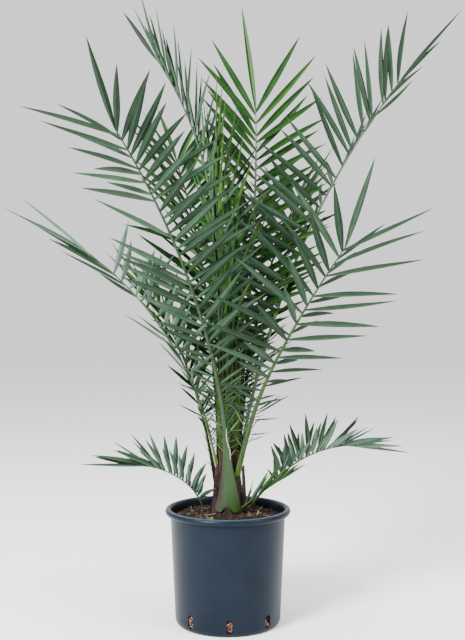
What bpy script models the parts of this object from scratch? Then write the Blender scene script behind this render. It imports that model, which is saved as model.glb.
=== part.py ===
"""A young date palm in a round nursery pot.

Metres, +Z up, the origin in the middle of the pot's flat underside, and the
side that is looked at first towards -Y.  Directions round the plant are
bearings in degrees: 0 is +X (right), 90 is +Y (back), 180 left, 270 front.

The palm is a short trunk wrapped in fibre, which narrows from a flat foot on
the soil to a blunt top, and fourteen feathered fronds.  A frond is a rib that
leans out further the higher it gets, with two rows of leaflets.  Each leaflet
is a thin blade folded into a shallow V along its middle.
"""

import math

import bmesh
import bpy
import numpy as np
from mathutils import Matrix
from mathutils import Vector
from mathutils.bvhtree import BVHTree

# Pot
RIM_RADIUS = 0.150
RIM_TOP = 0.275
RIM_HEIGHT = 0.015
WALL_TOP_RADIUS = 0.1375
WALL_FOOT_RADIUS = 0.1265
UNDERSIDE_RADIUS = 0.117
WALL = 0.0032
POT_SIDES = 48
SLOT_COUNT = 8
SLOT_FIRST = 2.0
SLOT_WIDTH = 0.016
SLOT_FROM = 0.010
SLOT_TO = 0.041

# Soil
SOIL_EDGE = 0.253
SOIL_MIDDLE = 0.262
SOIL_FLAT = 0.058
GAP = 0.0003

# Trunk
TRUNK_RADIUS = 0.037
TRUNK_TOP_RADIUS = 0.0160
TRUNK_HEIGHT = 0.200
TRUNK_SWELL = 1.25
TRUNK_SIDES = 18

# Leaflets
LEAF_WIDTH = 0.0170
LEAF_THICK = 0.0105
LEAF_WIDEST = 0.38
LEAF_DROOP = 0.02
ROOT_HALF_WIDTH = 0.0013
ROOT_RISE = 0.0004
ROOT_KEEL = 0.0008
LEAST_THICK = 0.0014
NARROWEST = 0.0042
STEEP = 32.0
OWN_CLEAR = 0.004
OWN_SHARE = 0.25
CLEAR = 0.0007
SEED = 12
BROAD_FROM = 0.17
CROWD = 0.92
PLACE_JITTER = 0.2
SPREAD_JITTER = 2.4
LIFT_JITTER = 3.0
LENGTH_JITTER = 0.04
BLADE_SHARES = (0.0, 0.33, 0.6, 0.8, 1.0)
GROWN_SHARES = (0.0, 0.21, 0.53, 1.0)
GROWN = (0.20, 0.26, 0.58, 1.0)
MERGES = (0.00006, 0.00003, 0.000015, 0.000008, 0.000004, 0.000002)

# Shares of a rib's length at which it has a ring of points
RIB_SHARES = (0.0, 0.04, 0.09, 0.15, 0.25, 0.38, 0.50, 0.62, 0.74, 0.87, 1.0)


def both(*values):
    """The same values for the left and the right row of leaflets."""
    return values, values


# The fronds.  foot is the bearing and the height over the soil where the stem
# leaves the trunk, heading the bearing that the rib leans to, and sweep what
# is added to it by the tip.  lean is the angle from upright at the foot, at
# the share bend of the length, and at the tip.  roll turns the blade about
# the rib, and sheath is half the width of the stem's foot.  The blade starts
# at the share start of the rib and its leaflets grow from spines to full
# length over the share grows of the blade.  count is the number of leaflets in
# the left and the right row.  The rest is given for the two rows at the shares
# BLADE_SHARES of the blade: spread is the angle between rib and leaflet, lift
# how far the row rises out of the blade, and reach the length.  ruffle is how
# far every other leaflet leaves its row in lift and in spread, twist turns the
# leaflets about their own length, and bare lists stretches of the rib, each
# after the row's sign, that have none.  end turns the last leaflet sideways
# and up, and gives its length.
FRONDS = {
    "frond_front_left": dict(
        foot=(268, 0.0120), heading=238, sweep=0, length=0.97,
        lean=(-4, 25, 49), bend=0.4, roll=14, sheath=0.033,
        start=0.15, grows=0.44, count=(34, 38), ruffle=(9, 6),
        twist=both(0, 0, 0, 0, 0),
        spread=((62, 54, 50, 90, 72), (62, 56, 64, 60, 38)),
        lift=((8, -14, 14, 32, 28), (8, 0, -6, -8, -4)),
        reach=((0.11, 0.17, 0.205, 0.21, 0.225), (0.18, 0.21, 0.21, 0.205, 0.20)),
        bare=((-1, 0.63, 0.705), (-1, 0.73, 0.79)), end=(12, 0, 0.220),
    ),
    "frond_front_right": dict(
        foot=(320, 0.0900), heading=308, sweep=0, length=0.65,
        lean=(15, 38, 46), bend=0.5, roll=-22, sheath=0.0105,
        start=0.14, grows=0.50, count=(20, 24), ruffle=(18, 13),
        twist=both(0, 0, 0, 0, 0),
        spread=((84, 76, 60, 59, 48), (62, 88, 92, 84, 58)),
        lift=((2, -8, -20, 16, 17), (4, 30, 26, 26, 34)),
        reach=((0.22, 0.22, 0.22, 0.185, 0.185), (0.13, 0.18, 0.22, 0.21, 0.215)),
        bare=(), end=(-15, -1, 0.235),
    ),
    "frond_left": dict(
        foot=(192, 0.1150), heading=178, sweep=0, length=0.615,
        lean=(9, 31, 55), bend=0.5, roll=0, sheath=0.009,
        start=0.16, grows=0.38, count=(16, 20), ruffle=(7, 5),
        twist=((0, 20, 40, 70, 75), (0, 0, 0, 0, 0)),
        spread=((70, 55, 54, 25, 17), (74, 72, 80, 92, 10)),
        lift=((10, -24, -20, -28, -20), (20, 24, 30, 34, 30)),
        reach=((0.22, 0.21, 0.20, 0.235, 0.235), (0.22, 0.225, 0.225, 0.215, 0.22)),
        bare=((-1, 0.55, 0.72), (1, 0.89, 0.96)), end=(-1, -6, 0.235),
    ),
    "frond_right_tall": dict(
        foot=(12, 0.1200), heading=15, sweep=0, length=1.04,
        lean=(9, 24, 39), bend=0.5, roll=-45, sheath=0.010,
        start=0.14, grows=0.38, count=(32, 30), ruffle=(4, 2),
        twist=both(0, 0, 0, 0, 0),
        spread=((78, 86, 82, 60, 40), (78, 74, 60, 40, 24)),
        lift=((45, 32, 30, 29, 28), (45, 42, 38, 30, 22)),
        reach=((0.20, 0.21, 0.225, 0.205, 0.17), (0.195, 0.20, 0.20, 0.20, 0.215)),
        bare=(), end=(0, -2, 0.255),
    ),
    "frond_centre_tall": dict(
        foot=(45, 0.1500), heading=45, sweep=50, length=0.845,
        lean=(8, 9, 10), bend=0.5, roll=0, sheath=0.009,
        start=0.14, grows=0.38, count=(28, 28), ruffle=(8, 4),
        twist=both(0, 0, 0, 0, 0),
        spread=((72, 66, 60, 56, 32), (72, 58, 46, 42, 33)),
        lift=((10, 2, -6, -10, 6), (10, 4, -4, -5, 0)),
        reach=((0.22, 0.22, 0.20, 0.19, 0.255), (0.22, 0.225, 0.215, 0.21, 0.24)),
        bare=(), end=(6, 0, 0.291),
    ),
    "frond_left_tall": dict(
        foot=(150, 0.1350), heading=150, sweep=0, length=1.02,
        lean=(-3, 4, 38), bend=0.5, roll=0, sheath=0.009,
        start=0.14, grows=0.38, count=(26, 31), ruffle=(8, 4),
        twist=((20, 40, 60, 62, 64), (20, 20, 20, 20, 20)),
        spread=((62, 50, 32, 16, 9), (62, 64, 68, 60, 36)),
        lift=((60, 58, 56, 56, 52), (60, 52, 47, 43, 40)),
        reach=((0.20, 0.20, 0.195, 0.185, 0.175), (0.20, 0.20, 0.20, 0.195, 0.18)),
        bare=(), end=(-18, -6, 0.235),
    ),
    "frond_left_small": dict(
        foot=(185, 0.0010), heading=185, sweep=0, length=0.19,
        lean=(13, 54, 80), bend=0.5, roll=0, sheath=0.004,
        start=0.16, grows=0.06, count=(15, 20), ruffle=(6, 4),
        twist=((20, 20, 30, 60, 70), (0, 0, 0, 20, 60)),
        spread=((100, 86, 62, 30, 18), (72, 66, 60, 46, 8)),
        lift=((16, 10, 6, 10, -24), (22, 42, 47, 52, 32)),
        reach=((0.105, 0.115, 0.11, 0.11, 0.155), (0.105, 0.115, 0.115, 0.118, 0.145)),
        bare=((-1, 0.48, 0.72),), end=(-2, -7, 0.160),
    ),
    "frond_right_small": dict(
        foot=(355, 0.0018), heading=355, sweep=0, length=0.305,
        lean=(36, 52, 86), bend=0.5, roll=0, sheath=0.006,
        start=0.33, grows=0.06, count=(16, 21), ruffle=(6, 5),
        twist=((20, 20, 20, 30, 60), (0, 0, 0, 10, 50)),
        spread=((60, 62, 62, 48, 30), (86, 84, 66, 48, 20)),
        lift=((32, 30, 33, 28, 4), (25, 34, 42, 28, -6)),
        reach=((0.11, 0.11, 0.12, 0.12, 0.145), (0.12, 0.12, 0.122, 0.12, 0.135)),
        bare=(), end=(-1, -9, 0.150),
    ),
    "frond_right_low": dict(
        foot=(322, 0.0140), heading=350, sweep=0, length=0.115,
        lean=(50, 53, 56), bend=0.5, roll=0, sheath=0.004,
        start=0.06, grows=0.10, count=(8, 8), ruffle=(8, 3),
        twist=both(30, 30, 30, 30, 30),
        spread=both(30, 26, 22, 17, 12),
        lift=both(56, 52, 48, 44, 40),
        reach=both(0.070, 0.085, 0.085, 0.080, 0.075),
        bare=(), end=(0, 0, 0.080),
    ),
    "frond_left_inner": dict(
        foot=(158, 0.0700), heading=158, sweep=0, length=0.50,
        lean=(8, 20, 38), bend=0.5, roll=0, sheath=0.009,
        start=0.20, grows=0.38, count=(18, 18), ruffle=(14, 4),
        twist=both(0, 0, 0, 0, 0),
        spread=both(70, 63, 55, 46, 36),
        lift=both(25, 22, 19, 17, 15),
        reach=both(0.165, 0.165, 0.165, 0.16, 0.155),
        bare=(), end=(0, 0, 0.165),
    ),
    "frond_heart": dict(
        foot=(215, 0.2008), heading=200, sweep=0, length=0.60,
        lean=(-1, 3, 6), bend=0.5, roll=0, sheath=0.006,
        start=0.20, grows=0.38, count=(21, 21), ruffle=(12, 3),
        twist=both(0, 0, 0, 0, 0),
        spread=both(35, 30, 26, 20, 15),
        lift=both(20, 17, 14, 12, 10),
        reach=both(0.25, 0.25, 0.255, 0.25, 0.24),
        bare=(), end=(0, 0, 0.255),
    ),
    "frond_back_right": dict(
        foot=(55, 0.0850), heading=55, sweep=0, length=0.76,
        lean=(8, 20, 42), bend=0.5, roll=0, sheath=0.009,
        start=0.16, grows=0.38, count=(29, 29), ruffle=(13, 4),
        twist=both(0, 0, 0, 0, 0),
        spread=both(75, 69, 61, 50, 40),
        lift=both(30, 27, 24, 22, 20),
        reach=both(0.18, 0.18, 0.18, 0.175, 0.165),
        bare=(), end=(0, 0, 0.180),
    ),
    "frond_back_left": dict(
        foot=(120, 0.1000), heading=118, sweep=0, length=0.83,
        lean=(6, 16, 36), bend=0.5, roll=0, sheath=0.009,
        start=0.16, grows=0.38, count=(30, 30), ruffle=(13, 4),
        twist=both(0, 0, 0, 0, 0),
        spread=both(75, 69, 61, 50, 40),
        lift=both(30, 27, 24, 22, 20),
        reach=both(0.20, 0.20, 0.20, 0.195, 0.185),
        bare=(), end=(0, 0, 0.200),
    ),
    "frond_back": dict(
        foot=(88, 0.0600), heading=86, sweep=0, length=0.78,
        lean=(10, 26, 48), bend=0.5, roll=0, sheath=0.010,
        start=0.28, grows=0.38, count=(24, 24), ruffle=(13, 4),
        twist=both(0, 0, 0, 0, 0),
        spread=both(75, 69, 61, 50, 40),
        lift=both(25, 22, 19, 17, 15),
        reach=both(0.20, 0.20, 0.20, 0.195, 0.185),
        bare=(), end=(0, 0, 0.200),
    ),
}

# What some stems stand further out than against the trunk, and where the heart's stem stands.
EXTRA_REACH = {"frond_left_small": 0.018, "frond_right_small": 0.004}
HEART_REACH = 0.0090

# The folded leaf that stands in the middle: foot radius and bearing, length,
# half width and lean towards a bearing.
SPEAR = dict(foot=(0.0070, 20), length=0.56, half=0.0068, lean=2.0, heading=60)

# Cut leaf bases standing against the trunk: bearing, height over the soil,
# length, lean, half width and thickness.
STUBS = {
    "stub_left": (208, 0.001, 0.105, 1, 0.0100, 0.0045),
    "stub_right": (358, 0.020, 0.088, 4, 0.0100, 0.0090),
    "stub_back_left": (124, 0.001, 0.075, 2, 0.0095, 0.0060),
    "stub_back_right": (50, 0.001, 0.070, 3, 0.0100, 0.0060),
}
STUB_RAGGED = 0.008

COLOURS = {
    "pot_plastic": (0.040, 0.066, 0.105, 1.0),
    "potting_soil": (0.050, 0.026, 0.016, 1.0),
    "trunk_fibre": (0.062, 0.032, 0.018, 1.0),
    "dead_sheath": (0.105, 0.058, 0.038, 1.0),
    "leaf_green": (0.052, 0.150, 0.060, 1.0),
    "leaf_young": (0.110, 0.260, 0.040, 1.0),
}
YOUNG = ("frond_heart", "frond_centre_tall")


def material(name):
    """The plain material of one colour."""
    found = bpy.data.materials.get(name)
    if found:
        return found
    made = bpy.data.materials.new(name)
    made.use_nodes = True
    shader = made.node_tree.nodes["Principled BSDF"]
    shader.inputs["Base Color"].default_value = COLOURS[name]
    shader.inputs["Roughness"].default_value = 0.4 if name == "pot_plastic" else 0.7
    return made


def mesh_object(name, points, faces, colour):
    """A mesh object with every face turned out."""
    mesh = bpy.data.meshes.new(name)
    mesh.from_pydata([tuple(map(float, p)) for p in points], [], [tuple(map(int, f)) for f in faces])
    work = bmesh.new()
    work.from_mesh(mesh)
    bmesh.ops.recalc_face_normals(work, faces=work.faces)
    work.to_mesh(mesh)
    work.free()
    mesh.materials.append(material(colour))
    made = bpy.data.objects.new(name, mesh)
    bpy.context.scene.collection.objects.link(made)
    return made


def turned(profile, sides):
    """Points and faces of a closed profile of (radius, height) pairs turned about the upright axis."""
    points = []
    rings = []
    for radius, height in profile:
        if radius == 0.0:
            rings.append([len(points)])
            points.append((0.0, 0.0, height))
            continue
        ring = []
        for k in range(sides):
            a = 2.0 * math.pi * k / sides
            ring.append(len(points))
            points.append((radius * math.cos(a), radius * math.sin(a), height))
        rings.append(ring)
    faces = []
    count = len(rings)
    for i in range(count):
        low, high = rings[i], rings[(i + 1) % count]
        if len(low) == 1 and len(high) == 1:
            continue
        for k in range(sides):
            n = (k + 1) % sides
            if len(low) == 1:
                faces.append((low[0], high[n], high[k]))
            elif len(high) == 1:
                faces.append((low[k], low[n], high[0]))
            else:
                faces.append((low[k], low[n], high[n], high[k]))
    return points, faces


def wall_radius(height):
    """Outer radius of the pot's wall at a height."""
    share = (height - 0.02) / (RIM_TOP - RIM_HEIGHT - 0.02)
    return WALL_FOOT_RADIUS + (WALL_TOP_RADIUS - WALL_FOOT_RADIUS) * share


def joined(target, operands, operation, solver="EXACT"):
    """Applies one Boolean with all the operands and removes them."""
    group = bpy.data.collections.new(target.name + "_parts")
    bpy.context.scene.collection.children.link(group)
    for part in operands:
        bpy.context.scene.collection.objects.unlink(part)
        group.objects.link(part)
        part.hide_render = True
        part.display_type = "WIRE"
    modifier = target.modifiers.new("join", "BOOLEAN")
    modifier.operand_type = "COLLECTION"
    modifier.collection = group
    modifier.operation = operation
    modifier.solver = solver
    depsgraph = bpy.context.evaluated_depsgraph_get()
    result = bpy.data.meshes.new_from_object(target.evaluated_get(depsgraph))
    old = target.data
    name = old.name
    target.modifiers.clear()
    target.data = result
    bpy.data.meshes.remove(old)
    result.name = name
    for part in list(group.objects):
        mesh = part.data
        bpy.data.objects.remove(part)
        bpy.data.meshes.remove(mesh)
    bpy.data.collections.remove(group)
    tidied(result)
    return target


def outer_skin(mesh):
    """The largest connected skin of a mesh, in triangles."""
    work = bmesh.new()
    work.from_mesh(mesh)
    left = set(work.verts)
    skins = []
    while left:
        reached = {left.pop()}
        edge = list(reached)
        while edge:
            near = {e.other_vert(v) for v in edge for e in v.link_edges} & left
            left -= near
            reached |= near
            edge = list(near)
        skins.append(reached)
    skins.sort(key=len)
    bmesh.ops.delete(work, geom=[v for skin in skins[:-1] for v in skin], context="VERTS")
    bmesh.ops.triangulate(work, faces=work.faces)
    return work


def tidied(mesh):
    """Keeps the outer skin of a joined mesh and closes its shortest edges, while it stays closed."""
    for merge in MERGES:
        work = outer_skin(mesh)
        bmesh.ops.remove_doubles(work, verts=work.verts, dist=merge)
        bmesh.ops.dissolve_degenerate(work, edges=work.edges, dist=merge)
        bmesh.ops.triangulate(work, faces=work.faces)
        wrong = sum(len(e.link_faces) != 2 for e in work.edges)
        if not wrong:
            work.to_mesh(mesh)
            work.free()
            return
        work.free()
    work = outer_skin(mesh)
    work.to_mesh(mesh)
    work.free()


def make_pot():
    """The pot: a tapered wall with a rounded foot, a rolled rim and slots low in the wall."""
    under_rim = RIM_TOP - RIM_HEIGHT
    profile = [
        (0.0, 0.0),
        (UNDERSIDE_RADIUS, 0.0),
        (WALL_FOOT_RADIUS - 0.0025, 0.0040),
        (WALL_FOOT_RADIUS, 0.020),
        (WALL_TOP_RADIUS, under_rim),
        (RIM_RADIUS - 0.0025, under_rim + 0.0015),
        (RIM_RADIUS, under_rim + 0.0075),
        (RIM_RADIUS - 0.0045, RIM_TOP),
        (RIM_RADIUS - 0.0110, RIM_TOP - 0.0015),
        (WALL_TOP_RADIUS - WALL, under_rim - 0.004),
        (WALL_FOOT_RADIUS - WALL, 0.020),
        (UNDERSIDE_RADIUS, 0.0035),
        (0.0, 0.0035),
    ]
    points, faces = turned(profile, POT_SIDES)
    pot = mesh_object("pot", points, faces, "pot_plastic")
    cutters = []
    for k in range(SLOT_COUNT):
        bearing = math.radians(270.0 + SLOT_FIRST + 360.0 / SLOT_COUNT * k)
        half = SLOT_WIDTH / 2.0
        outline = [
            (-half, SLOT_FROM),
            (half, SLOT_FROM),
            (half, SLOT_TO - 0.005),
            (half - 0.004, SLOT_TO),
            (-half + 0.004, SLOT_TO),
            (-half, SLOT_TO - 0.005),
        ]
        points = []
        for depth in (WALL_FOOT_RADIUS - 0.012, WALL_FOOT_RADIUS + 0.010):
            points += [(depth, y, z) for y, z in outline]
        count = len(outline)
        faces = [tuple(range(count)), tuple(range(count, 2 * count))]
        faces += [(i, (i + 1) % count, count + (i + 1) % count, count + i) for i in range(count)]
        turn = Matrix.Rotation(bearing, 3, "Z")
        cutters.append(mesh_object("slot", [turn @ Vector(p) for p in points], faces, "pot_plastic"))
    return joined(pot, cutters, "DIFFERENCE")


def make_soil():
    """The soil: it fills the pot and rises a little towards the trunk."""
    top_radius = wall_radius(SOIL_EDGE) - WALL - GAP
    foot_radius = WALL_FOOT_RADIUS - WALL - GAP
    profile = [
        (0.0, 0.0035 + GAP),
        (UNDERSIDE_RADIUS - 0.0006, 0.0035 + GAP),
        (foot_radius - 0.0001, 0.0203),
        (top_radius - 0.0001, SOIL_EDGE),
        (SOIL_FLAT, SOIL_MIDDLE),
        (0.0, SOIL_MIDDLE),
    ]
    points, faces = turned(profile, POT_SIDES)
    return mesh_object("soil", points, faces, "potting_soil")


def trunk_radius(height):
    """Radius of the trunk at a height over its foot."""
    share = min(max(height / TRUNK_HEIGHT, 0.0), 1.0)
    return TRUNK_RADIUS - (TRUNK_RADIUS - TRUNK_TOP_RADIUS) * share ** TRUNK_SWELL


def make_trunk():
    """The fibre-wrapped trunk, from its flat foot on the soil to its blunt top."""
    foot = SOIL_MIDDLE + GAP
    heights = [TRUNK_HEIGHT * k / 6.0 for k in range(7)]
    profile = [(0.0, foot)]
    profile += [(trunk_radius(h), foot + h) for h in heights]
    profile.append((0.0, foot + TRUNK_HEIGHT))
    points, faces = turned(profile, TRUNK_SIDES)
    return mesh_object("trunk", points, faces, "trunk_fibre")


def unit(v):
    """Vectors scaled to length one."""
    return v / np.linalg.norm(v, axis=-1, keepdims=True)


def rib_path(spec, foot_radius, count=61):
    """Share of length, place, direction, side and upper face along a rib."""
    s = np.linspace(0.0, 1.0, count)
    lean = np.radians(np.interp(s, [0.0, spec["bend"], 1.0], spec["lean"]))
    heading = np.radians(spec["heading"] + spec["sweep"] * s ** 1.5)
    roll = math.radians(spec["roll"])
    out = np.stack([np.cos(heading), np.sin(heading), 0.0 * s], axis=-1)
    across = np.stack([-np.sin(heading), np.cos(heading), 0.0 * s], axis=-1)
    up = np.array([0.0, 0.0, 1.0])
    along = np.sin(lean)[:, None] * out + np.cos(lean)[:, None] * up
    upper = -np.cos(lean)[:, None] * out + np.sin(lean)[:, None] * up
    to_trunk = math.radians((spec["foot"][0] - spec["heading"] + 180.0) % 360.0 - 180.0)
    turned_in = np.clip((s - 0.05) / 0.2, 0.0, 1.0) * roll
    turned_in += np.clip(1.0 - s / 0.14, 0.0, 1.0) * to_trunk
    turned_in = turned_in[:, None]
    side = np.cos(turned_in) * across + np.sin(turned_in) * upper
    face = -np.sin(turned_in) * across + np.cos(turned_in) * upper
    bearing = math.radians(spec["foot"][0])
    step = (along[1:] + along[:-1]) / 2.0 * spec["length"] / (count - 1)
    foot = np.array([
        foot_radius * math.cos(bearing),
        foot_radius * math.sin(bearing),
        SOIL_MIDDLE + spec["foot"][1],
    ])
    at = np.concatenate([[foot], foot + np.cumsum(step, axis=0)])
    return s, at, along, side, face


def at_share(s, values, share):
    """A row of vectors read at one share of the length."""
    return np.array([np.interp(share, s, values[:, k]) for k in range(3)])


def rib_half_width(spec, s):
    """Half the width of the rib at a share of its length."""
    size = min(1.0, 0.35 + 0.75 * spec["length"])
    wide = spec["sheath"]
    if wide > 0.02:
        return np.interp(s, [0.0, 0.04, 0.09, 0.15, 0.25, 0.5, 1.0],
                         [wide, wide * 0.50, wide * 0.30, 0.0070, 0.0054, 0.0038, 0.0014])
    return np.interp(s, [0.0, 0.10, 0.25, 0.55, 1.0],
                     [wide, 0.0080 * size, 0.0062 * size, 0.0040 * size, 0.0013])


def rib_thickness(spec, s):
    """Thickness of the rib at a share of its length."""
    size = min(1.0, 0.35 + 0.75 * spec["length"])
    return np.interp(s, [0.0, 0.15, 0.5, 1.0], [0.0060 * size, 0.0085 * size, 0.0060 * size, 0.0024])


def rib_solid(spec, foot_radius):
    """Points and faces of a rib: four-sided rings along its path, broad above and narrower below."""
    s, at, along, side, face = rib_path(spec, foot_radius)
    points = []
    for k, share in enumerate(RIB_SHARES):
        here = at_share(s, at, share)
        across = unit(at_share(s, side, share))
        above = unit(at_share(s, face, share))
        half = float(rib_half_width(spec, share))
        thick = float(rib_thickness(spec, share))
        below = 0.72 * half
        for a, b in ((-half, 0.35), (half, 0.35), (below, -0.6), (-below, -0.6)):
            points.append(here + across * a + above * b * thick)
    last = 4 * (len(RIB_SHARES) - 1)
    faces = [(0, 1, 2), (0, 2, 3), (last, last + 2, last + 1), (last, last + 3, last + 2)]
    for k in range(len(RIB_SHARES) - 1):
        for j in range(4):
            n = (j + 1) % 4
            faces.append((4 * k + j, 4 * k + 4 + j, 4 * k + 4 + n))
            faces.append((4 * k + j, 4 * k + 4 + n, 4 * k + n))
    return np.array(points), faces


def leaf_stations(root, ahead, length, width):
    """Root, middle and tip of a leaflet, each with half width, rise of edges and depth of keel."""
    thick = max(LEAF_THICK * length, LEAST_THICK)
    droop = np.array([0.0, 0.0, -LEAF_DROOP * length])
    return [
        (root, min(ROOT_HALF_WIDTH, 0.45 * width), ROOT_RISE, ROOT_KEEL),
        (root + ahead * LEAF_WIDEST * length, width / 2.0, 0.6 * thick, 0.4 * thick),
        (root + ahead * length + droop, 0.0, 0.0, 0.0),
    ]


def leaf_solid(root, ahead, across, above, length, width):
    """Points and faces of a solid leaflet: small root, middle with a keel below, sharp tip."""
    *rings, (tip, _, _, _) = leaf_stations(root, ahead, length, width)
    points = []
    for here, half, rise, keel in rings:
        edge = here + above * rise
        points += [edge - across * half, edge + across * half, here - above * keel]
    points.append(tip)
    faces = [(0, 1, 2), (3, 6, 4), (4, 6, 5), (5, 6, 3)]
    for j in range(3):
        n = (j + 1) % 3
        faces += [(j, 3 + j, 3 + n), (j, 3 + n, n)]
    return points, faces


def leaf_space(root, ahead, across, above, length, width, clear):
    """Points and faces of the room a leaflet needs: five points, a clearance out, at each station."""
    points = []
    for here, half, rise, keel in leaf_stations(root, ahead, length + clear, width):
        wide = across * (half + clear)
        high, low = above * (rise + clear), above * (rise - clear)
        points += [here + high - wide, here + high + wide, here + low + wide]
        points += [here - above * (keel + 1.3 * clear), here + low - wide]
    faces = [(4, 3, 2, 1, 0), (10, 11, 12, 13, 14)]
    for k in (0, 5):
        faces += [(k + j, k + (j + 1) % 5, k + 5 + (j + 1) % 5, k + 5 + j) for j in range(5)]
    return points, faces


def leaf_rows(spec, foot_radius, seed):
    """The wished-for leaflets from tip to foot: (frame, row, angles, length, width, share)."""
    rng = np.random.default_rng(seed)
    s, *path = rib_path(spec, foot_radius)
    at, along, side, face = [np.array([at_share(s, v, w) for w in RIB_SHARES]) for v in path]
    s = np.array(RIB_SHARES)
    turn, rise, length = spec["end"]
    tip = [v[-1] for v in (at, along, side, face)]
    rows = [(tip, 0.0, (turn, rise, 0.0), length, LEAF_WIDTH * 0.9, 1.0)]
    for row, sign in enumerate((-1.0, 1.0)):
        count = spec["count"][row]
        for k in range(count):
            u = ((k + 0.5 + PLACE_JITTER * rng.normal()) / count) ** CROWD
            w = spec["start"] + (1.0 - spec["start"]) * min(u, 1.0)
            if any(sign == which and low < w < high for which, low, high in spec["bare"]):
                continue
            wave = 1.0 if k % 2 else -1.0
            spread = np.interp(u, BLADE_SHARES, spec["spread"][row])
            spread -= wave * spec["ruffle"][1] + rng.normal(0.0, SPREAD_JITTER)
            lift = np.interp(u, BLADE_SHARES, spec["lift"][row])
            lift -= wave * spec["ruffle"][0] + rng.normal(0.0, LIFT_JITTER)
            twist = np.interp(u, BLADE_SHARES, spec["twist"][row])
            length = np.interp(u, BLADE_SHARES, spec["reach"][row])
            length *= np.interp(u / spec["grows"], GROWN_SHARES, GROWN)
            length *= 1.0 + rng.normal(0.0, LENGTH_JITTER)
            frame = [at_share(s, v, w) for v in (at, along, side, face)]
            width = LEAF_WIDTH * min(1.0, length / BROAD_FROM)
            rows.append((frame, sign, (spread, lift, twist), length, width, w))
    return sorted(rows, key=lambda leaf: -leaf[-1])


def leaf_frame(frame, sign, spread, lift, twist):
    """Direction, width direction and upper side of a leaflet."""
    _, along, side, face = frame
    a, b = math.radians(spread), math.radians(lift)
    if sign == 0.0:
        ahead = unit(along + math.tan(a) * side + math.tan(b) * face)
        across = unit(side - ahead * float(side @ ahead))
        return ahead, across, np.cross(ahead, across)
    outward = math.cos(b) * sign * side + math.sin(b) * face
    ahead = unit(math.cos(a) * along + math.sin(a) * outward)
    across = unit(along - ahead * float(along @ ahead))
    above = np.cross(ahead, across)
    if above @ face < 0.0:
        above = -above
    c = math.radians(twist) * sign
    turned_across = math.cos(c) * across + math.sin(c) * above
    return ahead, turned_across, -math.sin(c) * across + math.cos(c) * above


def trials():
    """Changes of spread, lift and length, tried in turn for a leaflet that would touch another part."""
    out = [(0.0, 0.0, 1.0)]
    for size in (1.0, 0.82, 0.64, 0.46):
        for reach in (4.0, 8.0, 12.0, 17.0, 22.0):
            for k in range(8):
                a = math.pi / 4.0 * k
                out.append((0.5 * reach * math.sin(a), reach * math.cos(a), size))
    return out


class Crowd:
    """The triangles that a leaflet must stay clear of."""

    def __init__(self):
        self.points = []
        self.faces = []

    def add(self, points, faces):
        """Takes in a solid."""
        first = len(self.points)
        self.points += [tuple(map(float, p)) for p in points]
        self.faces += [tuple(first + int(i) for i in f) for f in faces]

    def tree(self):
        """A search tree over all that was taken in."""
        return BVHTree.FromPolygons(self.points, self.faces)


def place_leaves(spec, foot_radius, seed, tree):
    """Solids of the leaflets of a frond that clear the rest; one that can't is left out."""
    kept = []
    own = Crowd()
    own_tree = None
    for frame, sign, (spread, lift, twist), length, width, w in leaf_rows(spec, foot_radius, seed):
        if width < NARROWEST:
            continue
        half = float(rib_half_width(spec, w))
        thick = float(rib_thickness(spec, w))
        for more_spread, more_lift, size in trials():
            steep = lift + more_lift > STEEP
            inward, down = (-0.10, 0.0) if steep else (0.25, 0.12)
            root = frame[0] + sign * inward * half * frame[2] - down * thick * frame[3]
            angles = (spread + more_spread, lift + more_lift, twist)
            ahead, across, above = leaf_frame(frame, sign, *angles)
            test = leaf_space(root, ahead, across, above, length * size, width, CLEAR)
            if tree.overlap(BVHTree.FromPolygons(*test)):
                continue
            start = max(half + OWN_CLEAR, OWN_SHARE * length * size)
            rest = length * size - start
            outer = leaf_space(root + ahead * start, ahead, across, above, rest, width, CLEAR / 2.0)
            if own_tree and own_tree.overlap(BVHTree.FromPolygons(*outer)):
                continue
            own.add(*outer)
            own_tree = own.tree()
            kept.append(leaf_solid(root, ahead, across, above, length * size, width))
            break
    return kept


def foot_radius_of(name, spec):
    """How far from the axis a stem stands at its foot: against the trunk, with a fine gap."""
    if name == "frond_heart":
        return HEART_REACH
    reach = trunk_radius(spec["foot"][1]) + 0.35 * float(rib_thickness(spec, 0.0)) + GAP
    return reach + EXTRA_REACH.get(name, 0.0)


def make_fronds(crowd):
    """All the fronds, each a rib joined with its leaflets."""
    feet = {name: foot_radius_of(name, spec) for name, spec in FRONDS.items()}
    ribs = {name: rib_solid(spec, feet[name]) for name, spec in FRONDS.items()}
    done = {}
    for number, (name, spec) in enumerate(FRONDS.items()):
        others = Crowd()
        others.add(crowd.points, crowd.faces)
        for other, (points, faces) in ribs.items():
            if other != name:
                others.add(points, faces)
        for leaves in done.values():
            for points, faces in leaves:
                others.add(points, faces)
        done[name] = place_leaves(spec, feet[name], SEED + number, others.tree())
    made = []
    for name in FRONDS:
        colour = "leaf_young" if name in YOUNG else "leaf_green"
        rib = mesh_object(name, *ribs[name], colour)
        leaves = [mesh_object("leaflet", points, faces, colour) for points, faces in done[name]]
        made.append(joined(rib, leaves, "UNION"))
    return made


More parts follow.
